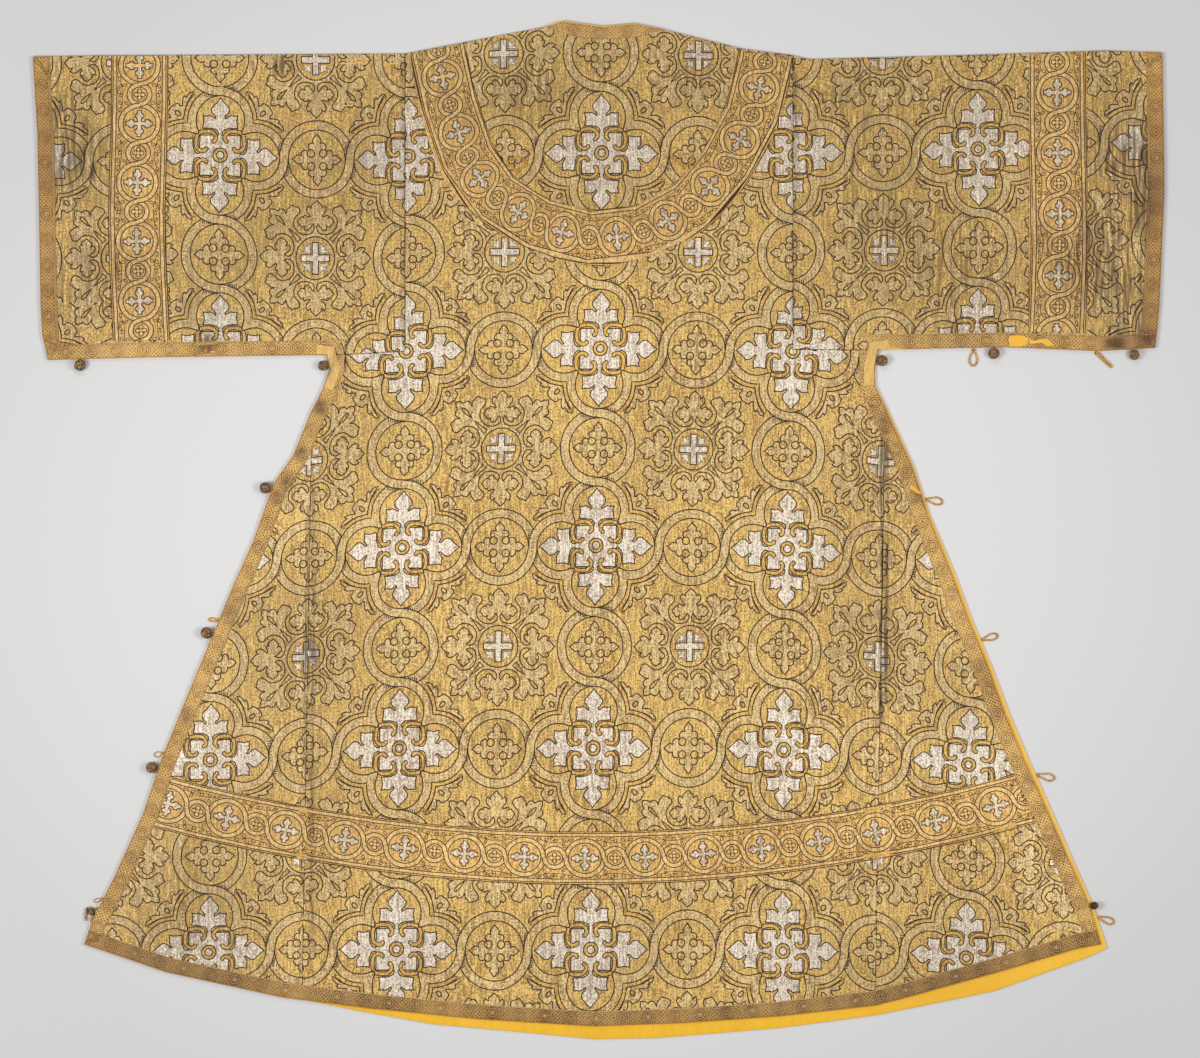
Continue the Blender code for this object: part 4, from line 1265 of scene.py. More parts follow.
class Graph:
    """A material's nodes, with short calls for the usual ones."""

    def __init__(self, name: str) -> None:
        """Starts a material.

        Args:
            name: The material's name.
        """
        self.material = bpy.data.materials.new(name)
        self.material.use_nodes = True
        self.tree = self.material.node_tree
        self.shader = self.tree.nodes["Principled BSDF"]
        self.place = self.tree.nodes.new("ShaderNodeTexCoord").outputs["Object"]

    def put(self, socket: bpy.types.NodeSocket, value: object) -> None:
        """Sets or links a socket.

        Args:
            socket: The socket.
            value: What it is set to, or the socket linked to it.
        """
        if isinstance(value, bpy.types.NodeSocket):
            self.tree.links.new(value, socket)
        else:
            socket.default_value = value

    def math(self, operation: str, a: object, b: object = None, clamp: bool = False) -> bpy.types.NodeSocket:
        """One sum.

        Args:
            operation: The sum's name.
            a: First value or socket.
            b: Second value or socket.
            clamp: Whether to keep the result from 0 to 1.

        Returns:
            The result.
        """
        node = self.tree.nodes.new("ShaderNodeMath")
        node.operation = operation
        node.use_clamp = clamp
        self.put(node.inputs[0], a)
        if b is not None:
            self.put(node.inputs[1], b)
        return node.outputs[0]

    def plus(self, a: object, b: object, clamp: bool = False) -> bpy.types.NodeSocket:
        """Two values added."""
        return self.math("ADD", a, b, clamp)

    def minus(self, a: object, b: object) -> bpy.types.NodeSocket:
        """The second value taken from the first."""
        return self.math("SUBTRACT", a, b)

    def times(self, a: object, b: object, clamp: bool = False) -> bpy.types.NodeSocket:
        """Two values multiplied."""
        return self.math("MULTIPLY", a, b, clamp)

    def mix(self, amount: object, a: object, b: object) -> bpy.types.NodeSocket:
        """A colour between two.

        Args:
            amount: How much of the second.
            a: The first colour.
            b: The second colour.

        Returns:
            The mixed colour.
        """
        node = self.tree.nodes.new("ShaderNodeMix")
        node.data_type = "RGBA"
        self.put(node.inputs[0], amount)
        self.put(node.inputs[6], a)
        self.put(node.inputs[7], b)
        return node.outputs[2]

    def noise(self, x: float, y: float, detail: float = 2.0, shift: float = 0.0) -> bpy.types.NodeSocket:
        """Uneven values, with so many swings a metre along x and y.

        Args:
            x: Swings a metre along x.
            y: Swings a metre along y.
            detail: How many finer layers are added.
            shift: Where the pattern starts, so that two differ.

        Returns:
            The values, round one half.
        """
        mapping = self.tree.nodes.new("ShaderNodeMapping")
        self.put(mapping.inputs["Vector"], self.place)
        mapping.inputs["Location"].default_value = (shift, shift * 0.7, 0)
        mapping.inputs["Scale"].default_value = (x, y, x)
        node = self.tree.nodes.new("ShaderNodeTexNoise")
        self.put(node.inputs["Vector"], mapping.outputs[0])
        node.inputs["Scale"].default_value = 1.0
        node.inputs["Detail"].default_value = detail
        return node.outputs[0]

    def attribute(self, name: str) -> bpy.types.Node:
        """The node that reads a value stored on the mesh.

        Args:
            name: The value's name.

        Returns:
            The node.
        """
        node = self.tree.nodes.new("ShaderNodeAttribute")
        node.attribute_type = "GEOMETRY"
        node.attribute_name = name
        return node

    def split(self, vector: bpy.types.NodeSocket) -> tuple[bpy.types.NodeSocket, bpy.types.NodeSocket]:
        """The first two numbers of a vector.

        Args:
            vector: The vector.

        Returns:
            Its x and its y.
        """
        node = self.tree.nodes.new("ShaderNodeSeparateXYZ")
        self.put(node.inputs[0], vector)
        return node.outputs[0], node.outputs[1]

    def swing(self, parts: Iterable[tuple[bpy.types.NodeSocket, float]]) -> bpy.types.NodeSocket:
        """Uneven values added round one half, each by its amount.

        Args:
            parts: The values and the amount of each.

        Returns:
            The sum, kept between 0 and 1.
        """
        total: object = 0.5
        for socket, amount in parts:
            total = self.plus(total, self.times(self.minus(socket, 0.5), amount))
        return self.times(total, 1.0, clamp=True)

    def bump(self, height: object, strength: float, distance: float) -> None:
        """Gives the surface a fine relief.

        Args:
            height: The relief.
            strength: How much it counts.
            distance: Its depth in metres.
        """
        node = self.tree.nodes.new("ShaderNodeBump")
        node.inputs["Strength"].default_value = strength
        node.inputs["Distance"].default_value = distance
        self.put(node.inputs["Height"], height)
        self.put(self.shader.inputs["Normal"], node.outputs[0])


@dataclass(frozen=True)
class ClothFinish:
    """How one kind of woven thread looks: its lighter and darker colours, its tarnish colour, which also paints shade
    in creases, seams and grooves, and its shine.
    """

    name: str
    light: tuple[int, int, int]
    dark: tuple[int, int, int]
    shade_and_tarnish: tuple[int, int, int]
    roughness: float = 0.5
    metallic: float = 0.15
    grain: float = 3.4
    streak: float = 1.2
    cloud: float = 0.6
    rib: float = 0.5
    sheen: float = 0.0
    weft: float = 2.0
    fresh: tuple[int, int, int] | None = None

    def make(self) -> bpy.types.Material:
        """Builds the material.

        Returns:
            The material.
        """
        graph = Graph(self.name)
        grain = graph.noise(430, 430, 2.0)
        streak = graph.noise(260, 22, 2.0, 3.1)
        cloud = graph.noise(9, 7, 3.0, 7.7)
        weft = graph.noise(700, 60, 1.0, 5.5)
        parts = ((grain, self.grain), (streak, self.streak), (cloud, self.cloud), (weft, self.weft))
        amount = graph.swing(parts)
        colour = graph.mix(amount, linear(*self.dark), linear(*self.light))
        stored_wear_and_shade = graph.attribute("wear").outputs["Fac"]
        if self.fresh:
            new = graph.times(stored_wear_and_shade, -1.0, clamp=True)
            colour = graph.mix(new, colour, linear(*self.fresh))
        # The stored amount darkens the colour patchily towards the tarnish colour: real tarnish, and painted shade
        # along creases and seams and between a button's turns
        patchy_wear_and_shade = graph.times(graph.math("MAXIMUM", stored_wear_and_shade, 0.0), graph.swing(((streak, 2.6), (cloud, 0.8))))
        colour = graph.mix(graph.times(patchy_wear_and_shade, 1.7, clamp=True), colour, linear(*self.shade_and_tarnish))
        graph.put(graph.shader.inputs["Base Color"], colour)
        graph.shader.inputs["Roughness"].default_value = self.roughness
        graph.shader.inputs["Metallic"].default_value = self.metallic
        graph.shader.inputs["Sheen Weight"].default_value = self.sheen
        rib = graph.noise(260, 1500, 0.0, 1.3)
        graph.bump(graph.plus(rib, grain), self.rib, 0.00035)
        return graph.material


@dataclass(frozen=True)
class GalloonFinish:
    """How the edge braid looks: rings of thread in a net, drawn in millimetres along and across its own length."""

    name: str
    dark: tuple[int, int, int]
    light: tuple[int, int, int]
    pitch: float = 33.8
    middle: float = 9.5
    ring: float = 10.1
    thread: float = 2.9
    net: float = 4.8
    border: float = 7.9
    tick: float = 1.6
    cross: tuple[float, float] = (0.55, 1.9)
    outer_edge: float = 1.1
    inner_edge: float = 17.9

    def waves(self, graph: Graph, place: bpy.types.NodeSocket, length: float) -> bpy.types.NodeSocket:
        """Ridges of one length along a place."""
        return graph.math("COSINE", graph.times(place, 2 * math.pi / length))

    def choice(
        self, graph: Graph, a: bpy.types.NodeSocket, b: bpy.types.NodeSocket, first: bpy.types.NodeSocket
    ) -> bpy.types.NodeSocket:
        """The first value where the choice is 1, and the second where it is 0."""
        return graph.plus(graph.times(a, first), graph.times(b, graph.minus(1.0, first)))

    def make(self) -> bpy.types.Material:
        """Builds the material, from the weave's place that each mesh keeps.

        Returns:
            The material.
        """
        graph = Graph(self.name)
        along, across = graph.split(graph.attribute("weave").outputs["Vector"])
        place = graph.math("DIVIDE", along, self.pitch)
        number = graph.math("FLOOR", place)
        x = graph.times(graph.minus(graph.minus(place, number), 0.5), self.pitch)
        y = graph.minus(across, self.middle)
        far = graph.math("SQRT", graph.plus(graph.times(x, x), graph.times(y, y)))
        slant = [self.waves(graph, graph.math(way, x, y), self.net) for way in ("ADD", "SUBTRACT")]
        near = graph.math("LESS_THAN", far, self.ring)
        relief = self.choice(graph, self.waves(graph, far, self.thread), graph.math("MAXIMUM", *slant), near)
        stripe = graph.math("GREATER_THAN", graph.math("ABSOLUTE", y), self.border)
        relief = self.choice(graph, self.waves(graph, along, self.tick), relief, stripe)
        grain = graph.noise(900, 900, 1.0)
        cloud = graph.noise(14, 12, 3.0, 2.2)
        lift = graph.plus(graph.times(relief, 0.36), 0.46)
        uneven = graph.minus(graph.swing(((grain, 2.2), (cloud, 1.2))), 0.5)
        colour = graph.mix(graph.plus(lift, uneven, clamp=True), linear(*self.dark), linear(*self.light))
        odd = graph.math("ABSOLUTE", graph.math("MODULO", number, 2.0))
        arm = [
            graph.times(*(graph.math("LESS_THAN", graph.math("ABSOLUTE", w), d) for w, d in zip(way, self.cross)))
            for way in ((x, y), (y, x))
        ]
        cross = graph.times(graph.math("MAXIMUM", *arm), odd)
        colour = graph.mix(graph.times(cross, 0.5), colour, linear(226, 208, 180))
        outer = graph.math("LESS_THAN", across, self.outer_edge)
        colour = graph.mix(graph.times(outer, 0.5), colour, linear(204, 136, 34))
        inner = graph.math("GREATER_THAN", across, self.inner_edge)
        colour = graph.mix(graph.times(inner, 0.4), colour, linear(224, 190, 124))
        # Tarnish and painted shade from the stored amount darken the braid towards dark brown
        patchy_wear_and_shade = graph.times(graph.attribute("wear").outputs["Fac"], graph.swing(((grain, 1.4), (cloud, 1.6))))
        colour = graph.mix(graph.times(patchy_wear_and_shade, 1.6, clamp=True), colour, linear(84, 48, 20))
        graph.put(graph.shader.inputs["Base Color"], colour)
        graph.shader.inputs["Roughness"].default_value = 0.5
        graph.shader.inputs["Metallic"].default_value = 0.15
        graph.bump(graph.plus(relief, grain), 0.6, 0.0003)
        return graph.material


class Finishes:
    """Every finish of the garment, made once."""

    def __init__(self) -> None:
        """Builds the materials."""
        brown = (96, 66, 28)
        self.silk = ClothFinish(
            "yellow_silk", (248, 198, 36), (222, 162, 14), (222, 150, 10), 0.45, 0.0, 0.5, 0.7, 0.6, 0.3, 0.2, 0.0
        ).make()
        self.brocade = [
            ClothFinish("brocade_ground", (237, 198, 114), (153, 115, 56), (104, 78, 28), fresh=(236, 186, 80)).make(),
            ClothFinish("brocade_bright", (234, 190, 100), (160, 118, 48), (118, 86, 32), fresh=(240, 186, 70)).make(),
            ClothFinish("brocade_pale", (236, 205, 142), (148, 115, 64), (106, 82, 40)).make(),
            ClothFinish("brocade_silver", (248, 234, 214), (164, 144, 118), (110, 92, 66), metallic=0.25).make(),
            ClothFinish("brocade_line", (66, 31, 12), (30, 13, 5), (30, 16, 7), 0.8, 0.0, 1.2).make(),
            self.silk,
        ]
        self.band = [
            ClothFinish("band_ground", (240, 196, 112), (182, 136, 66), brown).make(),
            ClothFinish("band_bright", (228, 186, 106), (168, 124, 60), brown).make(),
            ClothFinish("band_pale", (242, 208, 138), (184, 144, 82), (126, 94, 46)).make(),
            ClothFinish("band_silver", (240, 222, 194), (164, 142, 110), (106, 86, 60), metallic=0.3).make(),
            ClothFinish("band_line", (86, 38, 14), (42, 18, 6), (40, 20, 9), 0.8, 0.0, 1.2).make(),
            self.silk,
        ]
        self.ribbon = ClothFinish("plain_ribbon", (244, 204, 124), (206, 160, 80), brown, 0.55, 0.05, 1.4).make()
        self.braid = GalloonFinish("gold_galloon", (104, 62, 18), (242, 196, 112)).make()
        self.cuff_braid = GalloonFinish("cuff_galloon", (98, 60, 18), (236, 184, 98)).make()
        self.hem_braid = GalloonFinish("hem_galloon", (74, 46, 16), (194, 150, 80)).make()
        # The wound thread's near-black tarnish colour paints shade in the grooves between a button's turns
        self.thread = ClothFinish("wound_thread", (204, 158, 106), (84, 54, 30), (18, 10, 6), 0.38, 0.15, 1.6).make()
        self.cord = ClothFinish("gold_cord", (230, 174, 70), (156, 106, 32), (100, 70, 30), 0.45, 0.1).make()

    def galloon(self, name: str) -> bpy.types.Material:
        """The braid's finish at one edge of the garment, darker at the hem and greyer at the cuffs.

        Args:
            name: The braid.

        Returns:
            Its material.
        """
        if name.startswith("hem"):
            return self.hem_braid
        return self.cuff_braid if name.startswith("cuff") else self.braid

class Garment:
    """What every part needs: the frame, its outlines, the height of the front and the finishes."""

    def __init__(self, frame: dict) -> None:
        """Reads the solids' outlines.

        Args:
            frame: The frame, as loaded.
        """
        self.nodes = frame["nodes"]
        self.finishes = Finishes()
        round_ones = ("button", "loop")
        self.outlines = {
            name: outline_of(node) for name, node in self.nodes.items() if not name.startswith(round_ones)
        }
        panels = [self.outlines[name] for name in self.outlines if name.startswith("front")]
        outer = []
        for panel in panels:
            own = segments_of(panel)
            others = np.vstack([segments_of(other) for other in panels if other is not panel])
            middles = (own[:, :2] + own[:, 2:]) / 2
            outer.append(own[away_from(others, middles) > 1.0])
        self.outer = np.vstack(outer)
        self.relief = Relief(self.outer)

    def over_front(self, above: float) -> Callable[[Loop], np.ndarray]:
        """A height above the front's underside, for any points."""
        return lambda points: self.relief.lift(points) + above

    def finish(self, made: bpy.types.Object, slot: str, rests_on: Sequence[str], width: float | None = None) -> None:
        """Ties a piece of cloth to the frame, hides its solid and logs its count of faces.

        Args:
            made: The piece, named after its solid.
            slot: The record's finish; not used.
            rests_on: What it lies on; not used.
            width: The width of a strip; not used.
        """
        node = made.name.removesuffix(WOVEN)
        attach(made, "root")
        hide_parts(node)
        outline = self.outlines[node]
        area = abs(signed_area(outline)) * MM * MM
        LOG.info("%s: %d faces", made.name, len(made.data.polygons))


@dataclass
class Panels:
    """The brocade panels of the front and the back."""

    garment: Garment
    wall: float = FRONT_WALL
    back_wall: float = 1.2
    sleeve_back_wall: float = 2.5
    chart: BrocadeChart = field(default_factory=lambda: BrocadeChart(0.13))
    plain_chart: BrocadeChart = field(default_factory=lambda: BrocadeChart(0.45))

    BODY_DRIFT = Drift(
        (-369, -318, -254, -126, 2, 130, 258, 322, 367),
        (
            (589, (7.7, 7.7, 3.8, 0, 0.6, 1.3, 1.3, 1.3, 1.3), (11.5, 11.5, 3.8, -2.6, -4.5, 0, 3.8, 11.5, 15.4)),
            (519, (7.7, 6.4, 3.8, 3.8, 2.6, 0.6, 1.3, 1.3, 1.3), (11.5, 7.7, 5.1, 1.3, 0, 2.6, 3.8, 9, 12.8)),
            (378, (2.6, 1.3, 1.9, 3.8, 2.6, 2.6, 2.6, 3.8, 3.8), (10.2, 7.7, 3.8, 2.6, 1.3, 3.2, 3.8, 9.6, 12.8)),
            (295, (0, 0, 3.2, 3.8, 3.8, 2.6, 2.6, 1.3, 0), (14.1, 9, 5.1, 3.8, 2.6, 3.8, 5.1, 12.2, 16.6)),
            (154, (2.6, 2.6, 2.6, 2.6, 1.3, 0, -1.9, -5.1, -7.7), (17.9, 10.2, 6.4, 2.6, 1.3, 3.8, 6.4, 12.2, 17.9)),
            (84, (3.1, 2.6, 2.6, 1.3, 1.3, -1.3, -3.8, -7.7, -10.2), (20.5, 11.5, 6.4, 3.8, 2.6, 5.1, 7.7, 15.4, 21.1)),
            (-34, (6.4, 3.8, 0.6, 1.3, 0, -1.3, -3.8, -8.3, -10.2), (15.4, 9, 2.6, 1.9, 0, 2.6, 4.5, 11.5, 16.6)),
            (-127, (2.6, 1.3, 0, 1.3, 0, -2.6, -5.1, -9, -10.2), (9, 5.1, 0.6, -1.3, 0, -1.3, 2.6, 9, 12.8)),
            (-268, (2.6, 1.9, 0.6, 1.3, 0, -2.6, -5.1, -9, -10.2), (3.8, 2.6, -1.3, 0, -1.3, -1.3, 1.3, 6.4, 10.2)),
            (-479, (0, 0, 0, 1.3, 0, -1.3, -3.8, -7.7, -10.2), (-1.3, -1.3, -1.3, 0, -1.3, -1.9, 0.6, 2.6, 5.1)),
            (-550, (0, 0, 0, 1.3, 0, -0.6, -2.6, -5.1, -6.4), (-1.3, -1.3, -1.9, 1.3, -1.3, -1.3, 1.3, 1.3, 2.6)),
        ),
    )
    LEFT_GORE_DRIFT = Drift(
        (-484.5, -427, -369.3),
        (
            (90, (-1.3, -3.8, -6.4), (-3.8, -7.7, -14.8)),
            (-34, (-1.3, -2.6, -3.8), (-3.8, -11.5, -15.4)),
            (-127, (0, -5.1, -5.1), (-1.3, -10.9, -12.8)),
            (-191, (-2.6, -4.5, -5.1), (0, -3.8, -7.7)),
            (-319, (-1.3, -2.6, -2.6), (-0.6, -3.2, -5.1)),
            (-447, (1.3, -1.3, -2.6), (1.3, -1.3, -3.2)),
        ),
    )
    RIGHT_GORE_DRIFT = Drift(
        (360, 418, 475.5, 526.7),
        (
            (90, (10.2, 7.7, 3.8, 1.3), (-15.4, -11.5, -6.4, -3.8)),
            (0, (8.3, 7, 3.2, 1.3), (-16, -16, -9, -6.4)),
            (-89, (6.4, 6.4, 2.6, 1.3), (-14.1, -12.8, -3.8, -1.3)),
            (-191, (3.8, 3.2, 2.6, 3.8), (-7.7, -3.8, 1.3, 2.6)),
            (-255, (2.6, 1.9, 1.3, 1.3), (-6.4, -2.6, 2.6, 3.8)),
            (-319, (2.6, 0.6, 0, -1.3), (-9, -5.8, 0, 1.3)),
            (-447, (1.3, 0, -1.3, -1.3), (-10.2, -3.8, 1.3, 2.6)),
        ),
    )
    LEFT_SLEEVE_DRIFT = Drift(
        (-574, -484.5, -433, -375.7),
        (
            (551, (-0.6, 2.6, 3.8, 3.8), (2.6, 1.9, 2.6, 5.1)),
            (449, (-3.8, 0, 1.3, 3.8), (0.6, 0, 3.8, 7.7)),
            (391, (-6.4, -2.6, -1.3, 0), (-0.6, 0, 2.6, 3.8)),
            (333, (-6.4, -2.6, -1.3, -1.3), (0.6, 2.6, 3.8, 7.7)),
            (276, (-4.5, -2.6, -2.6, -1.3), (0, 0, 0, 6.4)),
        ),
    )
    RIGHT_SLEEVE_DRIFT = Drift(
        (379.5, 437, 488, 552),
        (
            (551, (1.3, 0, -1.3, -1.3), (6.4, 3.8, 1.9, 1.3)),
            (449, (2.6, 1.3, 0, 0), (6.4, 3.2, 1.3, 1.3)),
            (391, (3.8, 2.6, 1.3, 0.6), (5.8, 2.6, 1.3, 0)),
            (333, (3.8, 2.6, 0, 0), (7.7, 6.4, 5.1, 5.1)),
            (276, (1.3, 0, -1.3, -2.6), (3.8, 2.6, 1.3, 0)),
        ),
    )
    LEFT_CUFF_DRIFT = Drift(
        (-700, -600),
        (
            (564, (0, 0), (-1.9, -1.9)),
            (449, (-0.6, -0.6), (-0.6, -0.6)),
            (391, (-3.8, -3.8), (-2.6, -2.6)),
            (333, (-3.8, -3.8), (-0.6, -0.6)),
        ),
    )
    RIGHT_CUFF_DRIFT = Drift(
        (600, 700),
        (
            (564, (-2.6, -2.6), (-0.6, -0.6)),
            (449, (0, 0), (-1.3, -1.3)),
            (391, (1.9, 1.9), (-2.6, -2.6)),
            (333, (0.6, 0.6), (-2.6, -2.6)),
        ),
    )
    BODY = Phase((483.2, 234.9, -18.6, -279.7, -537.0), (1.5, -0.5, -3.5, -7.0, -10.0), drift=BODY_DRIFT)
    LEFT_GORE = Phase((-49.4, -293.8, -538.2), (-489.6, -494.7, -499.8), drift=LEFT_GORE_DRIFT)
    RIGHT_GORE = Phase((-52.0, -298.9, -545.9), (474.3, 473.0, 471.7), drift=RIGHT_GORE_DRIFT)
    LEFT_SLEEVE = Phase((480.6, 228.0), (-484.5, -480.0), 242.0, LEFT_SLEEVE_DRIFT)
    RIGHT_SLEEVE = Phase((489.6, 240.0), (485.8, 485.8), drift=RIGHT_SLEEVE_DRIFT)
    LEFT_CUFF = Phase((471.4, 222.0), (-733.0, -729.0), drift=LEFT_CUFF_DRIFT)
    LEFT_CUFF_END = Phase((448.5, 199.1), (-736.8, -732.8))
    LEFT_PIECING = 291.6
    RIGHT_CUFF = Phase((495.0, 243.0), (729.6, 728.0), drift=RIGHT_CUFF_DRIFT)
    RIGHT_CUFF_END = Phase((464.4, 212.4), (730.2, 728.6))
    RIGHT_PIECING = 317.0

    # The lines where the sleeves' weave starts anew, the ends of the plan, and the reach past a panel's edge
    LEFT_SEAM = -586
    RIGHT_SEAM = 588
    WIDE = 800
    TALL = 900
    MARGIN = 15

    def phases(self, name: str) -> list[tuple[Phase, tuple[float, float], tuple[float, float]]]:
        """Where the repeat falls on a panel, each with the low and high corner of the part where it does.

        Args:
            name: The panel.

        Returns:
            One row for each part of the panel.
        """
        left, right, wide, tall = self.LEFT_SEAM, self.RIGHT_SEAM, self.WIDE, self.TALL
        if name.endswith("sleeve_left"):
            return [
                (self.LEFT_CUFF, (-wide, self.LEFT_PIECING), (left, tall)),
                (self.LEFT_CUFF_END, (-wide, -tall), (left, self.LEFT_PIECING)),
                (self.LEFT_SLEEVE, (left, -tall), (0, tall)),
            ]
        if name.endswith("sleeve_right"):
            return [
                (self.RIGHT_SLEEVE, (0, -tall), (right, tall)),
                (self.RIGHT_CUFF, (right, self.RIGHT_PIECING), (wide, tall)),
                (self.RIGHT_CUFF_END, (right, -tall), (wide, self.RIGHT_PIECING)),
            ]
        phase = {"gore_left": self.LEFT_GORE, "gore_right": self.RIGHT_GORE}.get(name.split("_", 1)[1], self.BODY)
        return [(phase, (-wide, -tall), (wide, tall))]

    def woven(self, name: str, outline: Loop, chart: BrocadeChart) -> list[Loop]:
        """The weave on a panel.

        Args:
            name: The panel.
            outline: Its edge.
            chart: The repeat.

        Returns:
            The outlines of all shapes that reach into the panel, and the lines of its piecings.
        """
        loops = []
        for phase, start, end in self.phases(name):
            low = np.maximum(outline.min(0), start) - self.MARGIN
            high = np.minimum(outline.max(0), end) + self.MARGIN
            box = phase.find(np.array([(x, y) for x in (low[0], high[0]) for y in (low[1], high[1])]))
            first, last = np.maximum(low + self.MARGIN, start), high - self.MARGIN
            for loop in chart.loops_in(box.min(0) - 10, box.max(0) + 10):
                placed = phase.place(loop)
                if (placed.max(0) > first).all() and (placed.min(0) < last).all():
                    loops.append(placed)
            if start[1] > -self.TALL:
                cut = (start, ((start[0] + end[0]) / 2, start[1]), (end[0], start[1]))
                loops.append(stroke(lined(cut, 12), 0.5))
        return loops

    def panel(self, name: str) -> bpy.types.Object:
        """Makes one panel with the brocade woven in.

        Args:
            name: The panel.

        Returns:
            The new object.
        """
        outline, finishes = self.garment.outlines[name], self.garment.finishes.brocade
        under = name.startswith("back")
        chart = self.plain_chart if under else self.chart
        scars = [] if under else scars_of(name)
        loops = self.woven(name, outline, chart) + scars + ([] if under else pleats())
        shell = Shell(name, outline, loops, step=60.0 if under else 13.0, back_step=60.0 if under else 14.0)
        middles = shell.middles()
        marks = np.zeros(len(middles), int)
        for phase, start, end in self.phases(name):
            here = ((middles >= start) & (middles < end)).all(1)
            marks[here] = chart.tints(phase.find(middles[here]))
        for scar in scars:
            marks[within(scar, middles)] = len(finishes) - 1
        if name == "front_body":
            beside = np.vstack([segments_of(self.garment.outlines[other]) for other in SEWN])
            marks[away_from(beside, middles) < SEAM] = Tint.LINE.value
        if under:
            wall = self.sleeve_back_wall if "sleeve" in name else self.back_wall
            return shell.build(level(0.0), level(wall), marks, finishes, under=True)
        heights = self.garment.over_front(self.wall), self.garment.over_front(0.0)
        return shell.build(*heights, marks, finishes)

    def build(self) -> None:
        """Makes all ten panels."""
        for name in self.garment.outlines:
            if name.startswith(("front", "back")):
                self.garment.finish(self.panel(name), "brocade", ["lining"] if name.startswith("front") else ["floor"])


@dataclass
class Lining:
    """The yellow silk lining between the front and the back."""

    garment: Garment
    base: float = 1.5
    wall: float = 1.0
    pucker: float = 0.25

    def build(self) -> None:
        """Makes the lining, a little puckered along its edge."""
        shell = Shell("lining", self.garment.outlines["lining"], step=14.0, back_step=40.0)

        def surface(points: Loop) -> np.ndarray:
            """The height of the upper side, with small puckers near the hem."""
            waves = np.sin(points[:, 0] / 5.3 + np.sin(points[:, 1] / 31) * 2)
            return self.base + self.wall + self.pucker * waves * np.exp(-((points[:, 1] + 640) ** 2) / 900)

        marks = np.zeros(len(shell.faces), int)
        made = shell.build(surface, level(self.base), marks, [self.garment.finishes.silk])
        self.garment.finish(made, "yellow_silk", ["back_body"])


@dataclass
class BandRun:
    """One woven band: its solid, its middle line, the places of its large rings on the plan, and its width."""

    name: str
    path: Sequence[Sequence[float]]
    rings: Sequence[Sequence[float]]
    width: float
    spare: int = 4

    def __post_init__(self) -> None:
        """Finds where the large rings fall along the course and along the chart, with some more past both ends."""
        self.course = Course(np.array(self.path, float))
        self.scale = self.width / BandChart.WIDTH
        along = np.sort(self.course.find(np.array(self.rings, float))[:, 0])
        more = float(np.diff(along).mean()) * np.arange(1, self.spare + 1)
        self.along = np.concatenate((along[0] - more[::-1], along, along[-1] + more))
        self.chart = np.arange(len(self.along)) * BandChart.REPEAT

    def laid(self, spots: Loop) -> Loop:
        """Points of the chart, along and across the course."""
        return np.column_stack((np.interp(spots[:, 0], self.chart, self.along), spots[:, 1] * self.scale))

    def charted(self, spots: Loop) -> Loop:
        """Points along and across the course, on the chart."""
        return np.column_stack((np.interp(spots[:, 0], self.along, self.chart), spots[:, 1] / self.scale))


